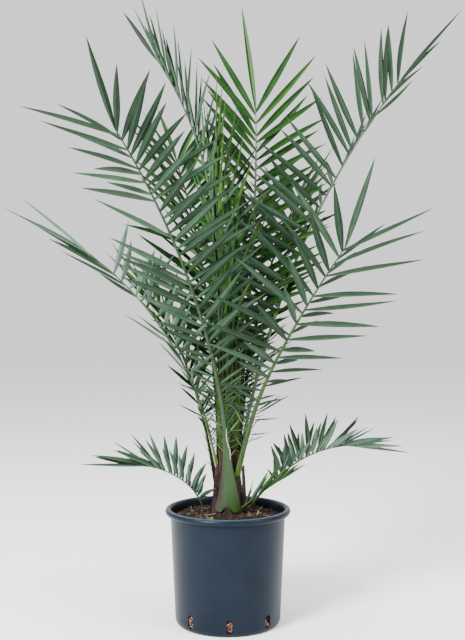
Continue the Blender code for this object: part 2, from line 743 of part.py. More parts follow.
def make_spear():
    """The spear: a slender four-sided spindle on top of the trunk."""
    bearing = math.radians(SPEAR["foot"][1])
    heading = math.radians(SPEAR["heading"])
    tilt = math.tan(math.radians(SPEAR["lean"]))
    foot = np.array([
        SPEAR["foot"][0] * math.cos(bearing),
        SPEAR["foot"][0] * math.sin(bearing),
        SOIL_MIDDLE + TRUNK_HEIGHT + 2.0 * GAP,
    ])
    points = []
    shares = (0.0, 0.15, 0.45, 0.75)
    for share in shares:
        rise = SPEAR["length"] * share
        here = foot + rise * np.array([tilt * math.cos(heading), tilt * math.sin(heading), 1.0])
        half = SPEAR["half"] * float(np.interp(share, [0.0, 0.15, 0.45, 1.0], [0.75, 0.9, 1.0, 0.0]))
        for k in range(5):
            a = 2.0 * math.pi * k / 5.0
            points.append(here + half * np.array([math.cos(a), math.sin(a), 0.0]))
    rise = SPEAR["length"]
    points.append(foot + rise * np.array([tilt * math.cos(heading), tilt * math.sin(heading), 1.0]))
    faces = [(4, 3, 2, 1, 0)]
    for i in range(len(shares) - 1):
        for k in range(5):
            n = (k + 1) % 5
            faces.append((5 * i + k, 5 * i + n, 5 * i + 5 + n, 5 * i + 5 + k))
    top = 5 * (len(shares) - 1)
    faces += [(top + k, top + (k + 1) % 5, top + 5) for k in range(5)]
    return mesh_object("spear", points, faces, "leaf_young")


def make_stubs():
    """The cut leaf bases: short slabs standing against the trunk."""
    made = []
    for name, (bearing, height, length, lean, half, thick) in STUBS.items():
        b = math.radians(bearing)
        out = np.array([math.cos(b), math.sin(b), 0.0])
        across = np.array([-math.sin(b), math.cos(b), 0.0])
        points = []
        steps = 5
        for k in range(steps):
            share = k / (steps - 1)
            h = height + length * share
            away = trunk_radius(h) + GAP + math.tan(math.radians(lean)) * length * share
            base = np.array([0.0, 0.0, SOIL_MIDDLE + h]) + out * away
            wide = half * (1.0 - 0.25 * share)
            for a, d in ((-wide, 0.0), (wide, 0.0), (0.7 * wide, thick), (-0.7 * wide, thick)):
                ragged = STUB_RAGGED if k == steps - 1 and a > 0.0 else 0.0
                rise = np.array([0.0, 0.0, ragged])
                points.append(base + across * a + out * (d * (1.0 - 0.3 * share)) + rise)
        faces = [(0, 1, 2, 3), tuple(4 * (steps - 1) + j for j in (3, 2, 1, 0))]
        for k in range(steps - 1):
            for j in range(4):
                n = (j + 1) % 4
                faces.append((4 * k + j, 4 * k + n, 4 * k + 4 + n, 4 * k + 4 + j))
        made.append(mesh_object(name, points, faces, "dead_sheath"))
    return made


def main():
    """Builds the pot, the soil, the trunk, the stubs and the fronds."""
    for old in list(bpy.data.objects):
        bpy.data.objects.remove(old)
    crowd = Crowd()
    for made in [make_pot(), make_soil(), make_trunk(), make_spear()] + make_stubs():
        crowd.add([v.co for v in made.data.vertices], [tuple(p.vertices) for p in made.data.polygons])
    make_fronds(crowd)


main()
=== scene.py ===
"""Looks of a young date palm in a round nursery pot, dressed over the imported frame.

Metres, +Z up, the origin under the middle of the pot, the side that is looked at first
towards -Y.  Directions round the plant are bearings in degrees: 0 is +X (right),
90 is +Y (back), 180 left and 270 front.  The fronds grow by the same seeded rule as
the solids, and every surface is worked out with arrays.
"""

import math

import bmesh
import bpy
import numpy as np
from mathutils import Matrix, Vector
from mathutils.bvhtree import BVHTree


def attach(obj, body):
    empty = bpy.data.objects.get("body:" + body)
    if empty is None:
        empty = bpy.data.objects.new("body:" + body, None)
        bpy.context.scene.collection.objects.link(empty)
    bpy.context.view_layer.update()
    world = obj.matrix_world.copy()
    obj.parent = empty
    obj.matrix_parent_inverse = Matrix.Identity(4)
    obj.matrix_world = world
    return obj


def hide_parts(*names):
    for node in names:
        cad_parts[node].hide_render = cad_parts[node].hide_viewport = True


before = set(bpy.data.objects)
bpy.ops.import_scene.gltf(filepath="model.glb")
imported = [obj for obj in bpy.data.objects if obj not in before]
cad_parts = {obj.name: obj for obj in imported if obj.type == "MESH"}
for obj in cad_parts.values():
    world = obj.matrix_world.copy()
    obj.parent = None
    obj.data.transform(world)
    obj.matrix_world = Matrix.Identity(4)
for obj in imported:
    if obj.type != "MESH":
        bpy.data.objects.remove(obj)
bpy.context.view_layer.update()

TURN = 2.0 * math.pi
UPWARDS = np.array([0.0, 0.0, 1.0])
NOISE_TABLE = 257

# Pot and soil
RIM_RADIUS = 0.150
RIM_TOP = 0.275
RIM_HEIGHT = 0.015
WALL_TOP_RADIUS = 0.1375
WALL_FOOT_RADIUS = 0.1265
UNDERSIDE_RADIUS = 0.117
ROUND_FOOT = 0.02
FLOOR_TOP = 0.0035
WALL = 0.0032
SLOT_COUNT = 8
SLOT_FIRST = 2.0
FIRST_BEARING = math.radians(270.0 + SLOT_FIRST)
SLOT_WIDTH = 0.016
SLOT_FROM = 0.010
SLOT_TO = 0.041
SLOT_RADIUS = 0.126
SLOT_BAND_TOP = 0.0500
# The rolled rim: an ellipse's half sizes, how far round it runs, and the step under it
ROLL_OUT, ROLL_UP = 0.0072, 0.0078
ROLL_FROM, ROLL_TO = -0.45 * math.pi, 0.96 * math.pi
ROLL_STEP = 0.0022
# Painted highlight with patchy wear on the rim's crest, and painted shadow in patches in a band below the
# rim
CREST_HALF, CREST_WIDTH = 0.0028, 0.014
RIM_SHADOW_BELOW, RIM_SHADOW_SPREAD = 0.008, 0.007
SOIL_EDGE = 0.253
SOIL_MIDDLE = 0.262
SOIL_FLAT = 0.058
SOIL_UNDERSIDE = 0.0040
SOIL_FADE = 0.004
ROOT_ZONE, ROOT_DENTS = 0.06, 0.0018
GAP = 0.0003
WELD = 0.00003
FINE_WELD = 0.00001

# Crumbs of the soil: height, waves a metre and seed of each size
CRUMBS = ((0.0016, 90, 11), (0.0013, 210, 12), (0.0008, 480, 13))
# Chips of bark on the soil: least and most half length, half width and half thickness
CHIP_COUNT = 900
CHIP_LEAST = (0.0018, 0.0010, 0.0006)
CHIP_MOST = (0.0064, 0.0032, 0.0016)
CHIP_SHARES = (0.42, 0.24, 0.27, 0.05, 0.02)
CHIP_TILT = 22.0
LITTER_COUNT = 120
LITTER_SHARES = (0.62, 0.26, 0.12)
LITTER_REACH = 0.129
LITTER_LENGTH = (0.008, 0.034)
LITTER_RADIUS = (0.0003, 0.0009)
SPROUT_SPOTS = (
    (-0.058, -0.062), (-0.066, -0.048), (-0.045, -0.070), (0.056, -0.036),
    (0.074, -0.022), (-0.092, -0.018), (0.072, 0.036), (-0.030, 0.075),
)
SPROUT_LENGTH = (0.006, 0.016)
SPROUT_WIDTH = (0.0018, 0.0036)
ROOTS_A_SLOT = 26
ROOT_SHARES = (0.30, 0.45, 0.25)
ROOT_HALF_SPAN = 0.0068
ROOT_RADIUS = (0.0004, 0.0011)

# Trunk
TRUNK_RADIUS = 0.037
TRUNK_TOP_RADIUS = 0.0160
TRUNK_HEIGHT = 0.200
TRUNK_SWELL = 1.25
TRUNK_FOOT = SOIL_MIDDLE + GAP
TRUNK_DOME = 0.0008
TRUNK_SUNK = 0.006
# The fibre wrap: height of an old leaf base, and how far its rim, its ridges and its weave stand out
OLD_BASE = 0.030
BARK_RIM, BARK_RIDGE, BARK_WEAVE = 0.0016, 0.0010, 0.0007
FIBRE_COUNT = 520
FIBRE_SHARES = (0.55, 0.45)
FIBRE_LENGTH = (0.018, 0.060)
FIBRE_SLANT = (2.0, 14.0)
FIBRE_RADIUS = (0.00018, 0.00042)
STUB_FRAY = 0.008
STUB_DENTS = (0.0005, 0.0004)

# Leaflets of the solids, which settle where a leaflet may stand
LEAF_WIDTH = 0.0170
LEAF_THICK = 0.0105
LEAF_WIDEST = 0.38
LEAF_DROOP = 0.02
ROOT_HALF_WIDTH = 0.0013
ROOT_RISE = 0.0004
ROOT_KEEL = 0.0008
LEAST_THICK = 0.0014
NARROWEST = 0.0042
STEEP = 32.0
CLEAR = 0.0007
OWN_CLEAR = 0.004
OWN_SHARE = 0.25
SEED = 12
BROAD_FROM = 0.17
CROWD = 0.92
PLACE_JITTER = 0.2
SPREAD_JITTER = 2.4
LIFT_JITTER = 3.0
LENGTH_JITTER = 0.04
BLADE_SHARES = (0.0, 0.33, 0.6, 0.8, 1.0)
GROWN_SHARES = (0.0, 0.21, 0.53, 1.0)
GROWN = (0.20, 0.26, 0.58, 1.0)
RIB_SHARES = (0.0, 0.04, 0.09, 0.15, 0.25, 0.38, 0.50, 0.62, 0.74, 0.87, 1.0)


def both(*values):
    """The same values for the left and the right row of leaflets."""
    return values, values


# The fronds.  foot is the bearing and the height over the soil where the stem leaves the
# trunk, heading the bearing that the rib leans to, and sweep what is added to it by the
# tip.  lean is the angle from upright at the foot, at the share bend of the length, and
# at the tip.  roll turns the blade about the rib, and sheath is half the width of the
# stem's foot.  The blade starts at the share start of the rib and its leaflets grow from
# spines to full length over the share grows of the blade.  count is the number of
# leaflets in the left and the right row.  The rest is given for the two rows at the
# shares BLADE_SHARES of the blade: spread is the angle between rib and leaflet, lift how
# far the row rises out of the blade, and reach the length.  ruffle is how far every other
# leaflet leaves its row in lift and in spread, twist turns the leaflets about their own
# length, and bare lists stretches of the rib, each after the row's sign, that have none.
# end turns the last leaflet sideways and up, and gives its length.  What a frond leaves out
# is as USUAL has it.
USUAL = dict(sweep=0, bend=0.5, roll=0, grows=0.38, twist=both(0, 0, 0, 0, 0), bare=())
FRONDS = {
    "frond_front_left": dict(
        foot=(268, 0.0120), heading=238, length=0.97,
        lean=(-4, 25, 49), bend=0.4, roll=14, sheath=0.033,
        start=0.15, grows=0.44, count=(34, 38), ruffle=(9, 6),
        spread=((62, 54, 50, 90, 72), (62, 56, 64, 60, 38)),
        lift=((8, -14, 14, 32, 28), (8, 0, -6, -8, -4)),
        reach=((0.11, 0.17, 0.205, 0.21, 0.225), (0.18, 0.21, 0.21, 0.205, 0.20)),
        bare=((-1, 0.63, 0.705), (-1, 0.73, 0.79)), end=(12, 0, 0.220),
    ),
    "frond_front_right": dict(
        foot=(320, 0.0900), heading=308, length=0.65,
        lean=(15, 38, 46), roll=-22, sheath=0.0105,
        start=0.14, grows=0.50, count=(20, 24), ruffle=(18, 13),
        spread=((84, 76, 60, 59, 48), (62, 88, 92, 84, 58)),
        lift=((2, -8, -20, 16, 17), (4, 30, 26, 26, 34)),
        reach=((0.22, 0.22, 0.22, 0.185, 0.185), (0.13, 0.18, 0.22, 0.21, 0.215)),
        end=(-15, -1, 0.235),
    ),
    "frond_left": dict(
        foot=(192, 0.1150), heading=178, length=0.615,
        lean=(9, 31, 55), sheath=0.009,
        start=0.16, count=(16, 20), ruffle=(7, 5),
        twist=((0, 20, 40, 70, 75), (0, 0, 0, 0, 0)),
        spread=((70, 55, 54, 25, 17), (74, 72, 80, 92, 10)),
        lift=((10, -24, -20, -28, -20), (20, 24, 30, 34, 30)),
        reach=((0.22, 0.21, 0.20, 0.235, 0.235), (0.22, 0.225, 0.225, 0.215, 0.22)),
        bare=((-1, 0.55, 0.72), (1, 0.89, 0.96)), end=(-1, -6, 0.235),
    ),
    "frond_right_tall": dict(
        foot=(12, 0.1200), heading=15, length=1.04,
        lean=(9, 24, 39), roll=-45, sheath=0.010,
        start=0.14, count=(32, 30), ruffle=(4, 2),
        spread=((78, 86, 82, 60, 40), (78, 74, 60, 40, 24)),
        lift=((45, 32, 30, 29, 28), (45, 42, 38, 30, 22)),
        reach=((0.20, 0.21, 0.225, 0.205, 0.17), (0.195, 0.20, 0.20, 0.20, 0.215)),
        end=(0, -2, 0.255),
    ),
    "frond_centre_tall": dict(
        foot=(45, 0.1500), heading=45, sweep=50, length=0.845,
        lean=(8, 9, 10), sheath=0.009,
        start=0.14, count=(28, 28), ruffle=(8, 4),
        spread=((72, 66, 60, 56, 32), (72, 58, 46, 42, 33)),
        lift=((10, 2, -6, -10, 6), (10, 4, -4, -5, 0)),
        reach=((0.22, 0.22, 0.20, 0.19, 0.255), (0.22, 0.225, 0.215, 0.21, 0.24)),
        end=(6, 0, 0.291),
    ),
    "frond_left_tall": dict(
        foot=(150, 0.1350), heading=150, length=1.02,
        lean=(-3, 4, 38), sheath=0.009,
        start=0.14, count=(26, 31), ruffle=(8, 4),
        twist=((20, 40, 60, 62, 64), (20, 20, 20, 20, 20)),
        spread=((62, 50, 32, 16, 9), (62, 64, 68, 60, 36)),
        lift=((60, 58, 56, 56, 52), (60, 52, 47, 43, 40)),
        reach=((0.20, 0.20, 0.195, 0.185, 0.175), (0.20, 0.20, 0.20, 0.195, 0.18)),
        end=(-18, -6, 0.235),
    ),
    "frond_left_small": dict(
        foot=(185, 0.0010), heading=185, length=0.19,
        lean=(13, 54, 80), sheath=0.004,
        start=0.16, grows=0.06, count=(15, 20), ruffle=(6, 4),
        twist=((20, 20, 30, 60, 70), (0, 0, 0, 20, 60)),
        spread=((100, 86, 62, 30, 18), (72, 66, 60, 46, 8)),
        lift=((16, 10, 6, 10, -24), (22, 42, 47, 52, 32)),
        reach=((0.105, 0.115, 0.11, 0.11, 0.155), (0.105, 0.115, 0.115, 0.118, 0.145)),
        bare=((-1, 0.48, 0.72),), end=(-2, -7, 0.160),
    ),
    "frond_right_small": dict(
        foot=(355, 0.0018), heading=355, length=0.305,
        lean=(36, 52, 86), sheath=0.006,
        start=0.33, grows=0.06, count=(16, 21), ruffle=(6, 5),
        twist=((20, 20, 20, 30, 60), (0, 0, 0, 10, 50)),
        spread=((60, 62, 62, 48, 30), (86, 84, 66, 48, 20)),
        lift=((32, 30, 33, 28, 4), (25, 34, 42, 28, -6)),
        reach=((0.11, 0.11, 0.12, 0.12, 0.145), (0.12, 0.12, 0.122, 0.12, 0.135)),
        end=(-1, -9, 0.150),
    ),
    "frond_right_low": dict(
        foot=(322, 0.0140), heading=350, length=0.115,
        lean=(50, 53, 56), sheath=0.004,
        start=0.06, grows=0.10, count=(8, 8), ruffle=(8, 3),
        twist=both(30, 30, 30, 30, 30),
        spread=both(30, 26, 22, 17, 12),
        lift=both(56, 52, 48, 44, 40),
        reach=both(0.070, 0.085, 0.085, 0.080, 0.075),
        end=(0, 0, 0.080),
    ),
    "frond_left_inner": dict(
        foot=(158, 0.0700), heading=158, length=0.50,
        lean=(8, 20, 38), sheath=0.009,
        start=0.20, count=(18, 18), ruffle=(14, 4),
        spread=both(70, 63, 55, 46, 36),
        lift=both(25, 22, 19, 17, 15),
        reach=both(0.165, 0.165, 0.165, 0.16, 0.155),
        end=(0, 0, 0.165),
    ),
    "frond_heart": dict(
        foot=(215, 0.2008), heading=200, length=0.60,
        lean=(-1, 3, 6), sheath=0.006,
        start=0.20, count=(21, 21), ruffle=(12, 3),
        spread=both(35, 30, 26, 20, 15),
        lift=both(20, 17, 14, 12, 10),
        reach=both(0.25, 0.25, 0.255, 0.25, 0.24),
        end=(0, 0, 0.255),
    ),
    "frond_back_right": dict(
        foot=(55, 0.0850), heading=55, length=0.76,
        lean=(8, 20, 42), sheath=0.009,
        start=0.16, count=(29, 29), ruffle=(13, 4),
        spread=both(75, 69, 61, 50, 40),
        lift=both(30, 27, 24, 22, 20),
        reach=both(0.18, 0.18, 0.18, 0.175, 0.165),
        end=(0, 0, 0.180),
    ),
    "frond_back_left": dict(
        foot=(120, 0.1000), heading=118, length=0.83,
        lean=(6, 16, 36), sheath=0.009,
        start=0.16, count=(30, 30), ruffle=(13, 4),
        spread=both(75, 69, 61, 50, 40),
        lift=both(30, 27, 24, 22, 20),
        reach=both(0.20, 0.20, 0.20, 0.195, 0.185),
        end=(0, 0, 0.200),
    ),
    "frond_back": dict(
        foot=(88, 0.0600), heading=86, length=0.78,
        lean=(10, 26, 48), sheath=0.010,
        start=0.28, count=(24, 24), ruffle=(13, 4),
        spread=both(75, 69, 61, 50, 40),
        lift=both(25, 22, 19, 17, 15),
        reach=both(0.20, 0.20, 0.20, 0.195, 0.185),
        end=(0, 0, 0.200),
    ),
}
FRONDS = {name: {**USUAL, **spec} for name, spec in FRONDS.items()}

SPEAR = dict(foot=(0.0070, 20), length=0.56, half=0.0068, lean=2.0, heading=60)
STUBS = {
    "stub_left": (208, 0.001, 0.105, 1, 0.0100, 0.0045),
    "stub_right": (358, 0.020, 0.088, 4, 0.0100, 0.0090),
    "stub_back_left": (124, 0.001, 0.075, 2, 0.0095, 0.0060),
    "stub_back_right": (50, 0.001, 0.070, 3, 0.0100, 0.0060),
}
EXTRA_REACH = {"frond_left_small": 0.018, "frond_right_small": 0.004}
HEART_REACH = 0.0090

# Tints of the fronds: the ones dealt to the upper sides, to the undersides, and the stem's
BLUISH = ("deep_blue_green", "dull_blue_green", "sage_green")
FRESH = ("fresh_green", "fresh_green", "bright_green")
BRIGHT = ("fresh_green", "bright_green", "heart_green")
DEEP_SIDE = ("under_dull", "under_deep")
PALE_SIDE = ("under_sage", "under_pale")
FRESH_SIDE = ("under_fresh", "under_bright")
TINTS = {
    "frond_front_left": (
        ("deep_blue_green", "mid_green", "dull_blue_green"), ("under_deep", "under_dull"), "stem_sheath",
    ),
    "frond_front_right": (("mid_green", "dull_blue_green", "sage_green"), DEEP_SIDE, "stem_fresh"),
    "frond_left": (BLUISH, PALE_SIDE, "stem_fresh"),
    "frond_right_tall": (("deep_blue_green", "mid_green", "sage_green"), DEEP_SIDE, "stem_pale"),
    "frond_centre_tall": (FRESH, FRESH_SIDE, "stem_lilac"),
    "frond_left_tall": (BLUISH, ("under_sage", "under_dull"), "stem_pale"),
    "frond_left_small": (BLUISH, PALE_SIDE, "stem_blue_green"),
    "frond_right_small": (BLUISH, PALE_SIDE, "stem_blue_green"),
    "frond_right_low": (
        ("mid_green", "fresh_green", "dull_blue_green"), ("under_fresh", "under_sage"), "stem_fresh",
    ),
    # frond_left_inner and the three back fronds are dealt bright, fresh tints: partly their own young green,
    # partly painted light that lifts the shade deep in the crown
    "frond_left_inner": (FRESH, FRESH_SIDE, "stem_olive"),
    "frond_heart": (BRIGHT, ("under_bright", "under_fresh"), "stem_olive"),
    "frond_back_right": (BRIGHT, ("under_fresh", "under_dull"), "stem_olive"),
    "frond_back_left": (("mid_green", "fresh_green", "bright_green"), DEEP_SIDE, "stem_olive"),
    "frond_back": (BRIGHT, ("under_dull", "under_sage"), "stem_olive"),
}
YOUNG = ("frond_heart", "frond_centre_tall")
# How often each tint falls on a leaflet's shaded half and on the half that catches the light
SHADED_DEAL = (0.74, 0.22, 0.04)
LIT_DEAL = (0.15, 0.40, 0.45)
UNDER_DEAL = (0.6, 0.4)
# The way towards the light that tells the two halves apart
LIT_FROM = (-0.45, -0.45, 0.77)

# Fronds whose leaflets are narrower or wider than the rule gives, as shares of the width
SLENDER = {
    "frond_heart": 0.66,
    "frond_left_small": 1.16,
    "frond_right_small": 1.08,
    "frond_left_tall": 0.88,
    "frond_left": 0.95,
}

# Half the width of the stems' feet where they clasp the trunk, and how high up that reaches
CLASPS = {
    "frond_front_right": 0.0125,
    "frond_left": 0.0120,
    "frond_right_tall": 0.0130,
    "frond_centre_tall": 0.0160,
    "frond_left_tall": 0.0140,
    "frond_left_inner": 0.0160,
    "frond_heart": 0.0240,
    "frond_back_right": 0.0170,
    "frond_back_left": 0.0170,
    "frond_back": 0.0180,
}
CLASP_HEIGHT = 0.075
# How far up a stem its foot's colour reaches
RIPE_HEIGHT = 0.075
RIPE_HEIGHTS = {"frond_centre_tall": 0.52, "frond_left_inner": 0.30, "frond_heart": 0.40}
# Stems that look stouter than the rib, as a share of its width
STOUT = {"frond_left": 1.30}
# A stem whose foot is wider than this on each side is the broad sheath
BROAD_SHEATH = 0.02
SHEATH_HEIGHTS = (0.0, 0.030, 0.067, 0.103, 0.150, 0.180)
SHEATH_HALVES = (0.0325, 0.0266, 0.0190, 0.0132, 0.0089, 0.0072)
SHEATH_RADIUS = TRUNK_RADIUS + 0.004
# Depth and half width of the notch in the sheath's lower edge, and the two lobes beside it
NOTCH_RISE, NOTCH_HALF = 0.016, 0.0125
LOBE_DROP, LOBE_AT, LOBE_HALF = 0.008, 0.019, 0.012
SHEATH_COLOUR_HEIGHT = 0.16
STEM_STEPS, STEM_SIDES = 90, 18
FINE_STEPS = 401
STEM_END = 0.008
# The strip that peels off the sheath: its stretch of the rib, its radius, its bow and how far back it lies
PEEL_FROM, PEEL_TO = 0.125, 0.205
PEEL_RADIUS, PEEL_BOW, PEEL_BACK = 0.0011, 0.0030, 0.0036

# Blade outline: places along a leaflet
BLADE_PLACES = np.array([0.0, 0.05, 0.13, 0.25, 0.38, 0.52, 0.66, 0.79, 0.90])
BLADE_WIDTH = 0.0163
# How far blades bow sideways and upwards, as shares of their length, and curl at the tip, in degrees
BLADE_BOW, BLADE_ARCH, BLADE_CURL = 0.022, 0.010, 9.0
# Thickness of a blade that is wider than FULL_WIDTH, at shares of its length
THICK_SHARES = (0.0, 0.15, 0.6, 1.0)
BLADE_THICK = (0.0014, 0.0010, 0.0007, 0.0003)
FULL_WIDTH = 0.006
# What a blade's colour is multiplied by on its fold, at places from there to its edge, and on its edge
FOLD_SHADE = (2.1, 2.0, 2.1, 1.0)
BLADE_SHADES = ((0.09, 1.7), (0.20, 0.95), (0.80, 1.0))
EDGE_SHADE = (0.42, 0.34, 0.40, 1.0)

# Spines: where on the rib they start, how far apart they stand and how far past the blade's start they go
SPINE_FIRST = 0.075
SHEATH_SPINE_FIRST = 0.13
SPINE_PITCH = 0.0062
SPINE_PAST = 0.14
LEAST_SPINY = 0.45
# Lengths and widths of the spines where they start, where the blade starts and where they end
SPINE_LENGTHS = (0.030, 0.048, 0.100)
SPINE_WIDTHS = (0.0022, 0.0028, 0.0055)
# Least and most angle between stem and spine, and the mean and the deviation of the angle that it rises
SPINE_SPREAD = (38.0, 72.0)
SPINE_LIFT = (12.0, 22.0)
# Share of dry spines where they start and where they end
DRY_SHARES = (0.75, 0.05)
# How often each of the spines' finishes falls on a narrow leaflet
NARROW_DEAL = (0.0, 0.35, 0.65)

# Youngest leaves in the middle
SPEAR_LEAVES = 26
SPEAR_PLEATS, SPEAR_TWIST = 9.0, 14.0
SPEAR_BLADE = (0.14, 0.26)
SPEAR_BLADE_WIDTH = (0.007, 0.012)
YOUNG_BASES = 110
YOUNG_SHARES = (0.40, 0.42, 0.18)
YOUNG_DROP = (0.004, 0.070)
YOUNG_LEAN = (-3.0, 5.0)
YOUNG_LENGTH = (0.12, 0.34)
YOUNG_WIDTH = (0.005, 0.013)
GOLDEN_SHARE = 0.382

# Seeds of what is strewn; the leaflets' and the spines' have the frond's number added
SEEDS = dict(
    chips=21, litter=31, sprouts=41, roots=51, fibres=71, spear=91, young=97, leaflets=300, spines=400,
)

# Each leaf colour with the second one that clouds it
UPPER = {
    "deep_blue_green": ((9, 25, 11), (16, 34, 17)),
    "dull_blue_green": ((19, 42, 20), (31, 54, 30)),
    "sage_green": ((32, 56, 35), (47, 69, 47)),
    "mid_green": ((9, 35, 10), (16, 44, 16)),
    "fresh_green": ((18, 50, 11), (29, 60, 20)),
    "bright_green": ((30, 64, 11), (44, 75, 22)),
    "heart_green": ((34, 66, 12), (46, 78, 20)),
    "base_olive": ((40, 58, 14), (58, 72, 22)),
    "base_green": ((24, 50, 13), (38, 64, 22)),
    "base_brown": ((48, 46, 24), (34, 31, 19)),
}
UNDER = {
    "under_deep": ((21, 40, 24), (29, 48, 32)),
    "under_dull": ((31, 53, 35), (42, 64, 46)),
    "under_sage": ((44, 68, 51), (58, 81, 65)),
    "under_pale": ((60, 84, 68), (77, 98, 85)),
    "under_fresh": ((28, 57, 19), (38, 66, 27)),
    "under_bright": ((38, 70, 18), (52, 82, 28)),
}
STEMS = {
    "stem_blue_green": ((44, 66, 44), (34, 42, 17)),
    "stem_fresh": ((50, 74, 36), (58, 82, 16)),
    "stem_pale": ((66, 88, 60), (46, 64, 24)),
    "stem_lilac": ((96, 104, 94), (46, 64, 24)),
    "stem_olive": ((38, 56, 22), (44, 58, 20)),
    "stem_sheath": ((46, 66, 42), (38, 63, 24), (60, 50, 45)),
}
# Small finishes: name, colour, second colour and roughness
STUB_FINISHES = (
    ("dry_base_red", (52, 36, 32), (27, 20, 19), 0.88),
    ("dry_base_grey", (64, 58, 50), (34, 30, 27), 0.88),
)
SPINE_FINISHES = (
    ("spine_straw", (100, 114, 72), (72, 90, 50), 0.5),
    ("spine_green", (52, 78, 42), (36, 58, 32), 0.5),
    ("spine_leaf", (26, 52, 27), (38, 64, 40), 0.5),
)
CHIP_FINISHES = (
    ("chip_dark", (17, 13, 13), (26, 19, 18), 0.93),
    ("chip_red", (66, 34, 27), (40, 23, 20), 0.92),
    ("chip_brown", (31, 23, 21), (20, 15, 14), 0.92),
    ("chip_tan", (80, 50, 40), (52, 34, 29), 0.9),
    ("chip_pale", (150, 138, 120), (110, 98, 84), 0.88),
)
FIBRE_FINISHES = (("fibre_umber", (52, 36, 28), None, 0.9), ("fibre_straw", (98, 76, 52), None, 0.85))
LITTER_FINISHES = (
    ("twig_brown", (52, 38, 30), None, 0.9),
    ("straw_pale", (130, 116, 86), None, 0.85),
    ("straw_olive", (90, 94, 50), None, 0.8),
)
SPROUT_FINISHES = (("sprout_green", (66, 90, 36), None, 0.55), ("sprout_pale", (126, 138, 84), None, 0.55))
ROOT_FINISHES = (
    ("root_dark", (34, 23, 22), None, 0.9),
    ("root_rust", (94, 56, 44), None, 0.85),
    # Pale pinkish root strands: painted highlights on the roots in the slots
    ("root_pale_highlight", (170, 134, 118), None, 0.8),
)

# Studio: lights by name, place, size and watts, what they face, and the camera
LIGHTS = (
    ("key_left", (-2.2, -2.8, 2.6), 1.2, 520.0),
    ("key_right", (2.8, -1.8, 2.2), 1.6, 110.0),
    ("top", (0.2, 0.2, 3.4), 2.0, 80.0),
)
LIGHT_AIM = (0.0, 0.0, 0.8)
ROOM_LIGHT = 1.2
FLOOR_RADIUS = 14.0
CAMERA_PLACE = (0.011, -2.40, 0.775)
CAMERA_AIM = (0.011, 0.0, 0.7238)
CAMERA_LENS = 56.5


def tone(red, green, blue):
    """A colour as a screen shows it, 0 to 255, turned into linear light by the power law of screens."""
    share = (np.array([red, green, blue]) / 255.0 + 0.055) / 1.055
    return tuple(float(c) for c in share ** 2.4) + (1.0,)


def unit(v):
    """Vectors scaled to length one."""
    return v / np.linalg.norm(v, axis=-1, keepdims=True)


def full_turn(count):
    """Angles of even steps round a circle."""
    return TURN * np.arange(count) / count


def polar(radius, turn, height=0.0):
    """Points at a radius, an angle about the upright axis and a height."""
    return np.stack(np.broadcast_arrays(radius * np.cos(turn), radius * np.sin(turn), height), axis=-1)


def lattice(x, y, seed, period=NOISE_TABLE):
    """Smooth noise from -1 to 1: random values at whole x and y, blended between them by 3t^2 - 2t^3.

    It repeats along x after period steps.
    """
    table = np.random.default_rng(seed).uniform(-1.0, 1.0, (NOISE_TABLE, NOISE_TABLE))
    x0, y0 = np.floor(x).astype(int), np.floor(y).astype(int)
    tx, ty = x - x0, y - y0
    tx, ty = tx * tx * (3.0 - 2.0 * tx), ty * ty * (3.0 - 2.0 * ty)
    corner = [[table[(x0 + i) % period, (y0 + j) % NOISE_TABLE] for j in (0, 1)] for i in (0, 1)]
    low = corner[0][0] * (1.0 - tx) + corner[1][0] * tx
    high = corner[0][1] * (1.0 - tx) + corner[1][1] * tx
    return low * (1.0 - ty) + high * ty


def quads(rows, columns, closed=False):
    """Four-sided faces of a grid of points kept row by row; closed joins the last column to the first."""
    r = np.arange(rows - 1)[:, None] * columns
    c = np.arange(columns if closed else columns - 1)[None, :]
    n = (c + 1) % columns
    return np.stack([r + c, r + n, r + columns + n, r + columns + c], axis=-1).reshape(-1, 4)


class Parts:
    """Gathers the points, faces, finishes and grain of one piece."""

    def __init__(self):
        self.points, self.grain, self.loops, self.sizes, self.finishes = [], [], [], [], []
        self.count = 0

    def add(self, points, faces, finish=0, grain=None):
        """Takes in points and a list of face arrays; finish is a number or one number a face."""
        points = np.asarray(points, float).reshape(-1, 3)
        faces = faces if isinstance(faces, list) else [faces]
        self.points.append(points)
        self.grain.append(np.zeros((len(points), 2)) if grain is None else np.asarray(grain).reshape(-1, 2))
        finish = finish if isinstance(finish, list) else [finish] * len(faces)
        for block, number in zip(faces, finish):
            self.loops.append((np.asarray(block) + self.count).ravel())
            self.sizes.append(np.full(len(block), np.asarray(block).shape[1]))
            self.finishes.append(np.broadcast_to(number, (len(block),)))
        self.count += len(points)

    def grid(self, points, **more):
        """Takes in rows of points, each row closed to a ring."""
        self.add(points, quads(len(points), points.shape[1], closed=True), **more)

    def piece(self, name, materials, sharp=None, weld=None):
        """Makes the object, turns its faces out and shades it smooth, with a crease past the angle sharp."""
        mesh = bpy.data.meshes.new(name)
        loops = np.concatenate(self.loops).astype(np.int32)
        sizes = np.concatenate(self.sizes)
        mesh.vertices.add(self.count)
        mesh.vertices.foreach_set("co", np.concatenate(self.points).ravel())
        mesh.loops.add(len(loops))
        mesh.loops.foreach_set("vertex_index", loops)
        mesh.polygons.add(len(sizes))
        starts = np.concatenate([[0], np.cumsum(sizes)[:-1]])
        mesh.polygons.foreach_set("loop_start", starts.astype(np.int32))
        mesh.polygons.foreach_set("material_index", np.concatenate(self.finishes).astype(np.int32))
        mesh.update(calc_edges=True)
        layer = mesh.uv_layers.new(name="grain")
        layer.data.foreach_set("uv", np.concatenate(self.grain)[loops].ravel())
        for material in materials:
            mesh.materials.append(material)
        work = bmesh.new()
        work.from_mesh(mesh)
        if weld:
            bmesh.ops.remove_doubles(work, verts=work.verts, dist=weld)
        bmesh.ops.recalc_face_normals(work, faces=work.faces)
        work.to_mesh(mesh)
        work.free()
        mesh.shade_smooth()
        if sharp:
            mesh.set_sharp_from_angle(angle=math.radians(sharp))
        made = bpy.data.objects.new(name, mesh)
        bpy.context.scene.collection.objects.link(made)
        return made


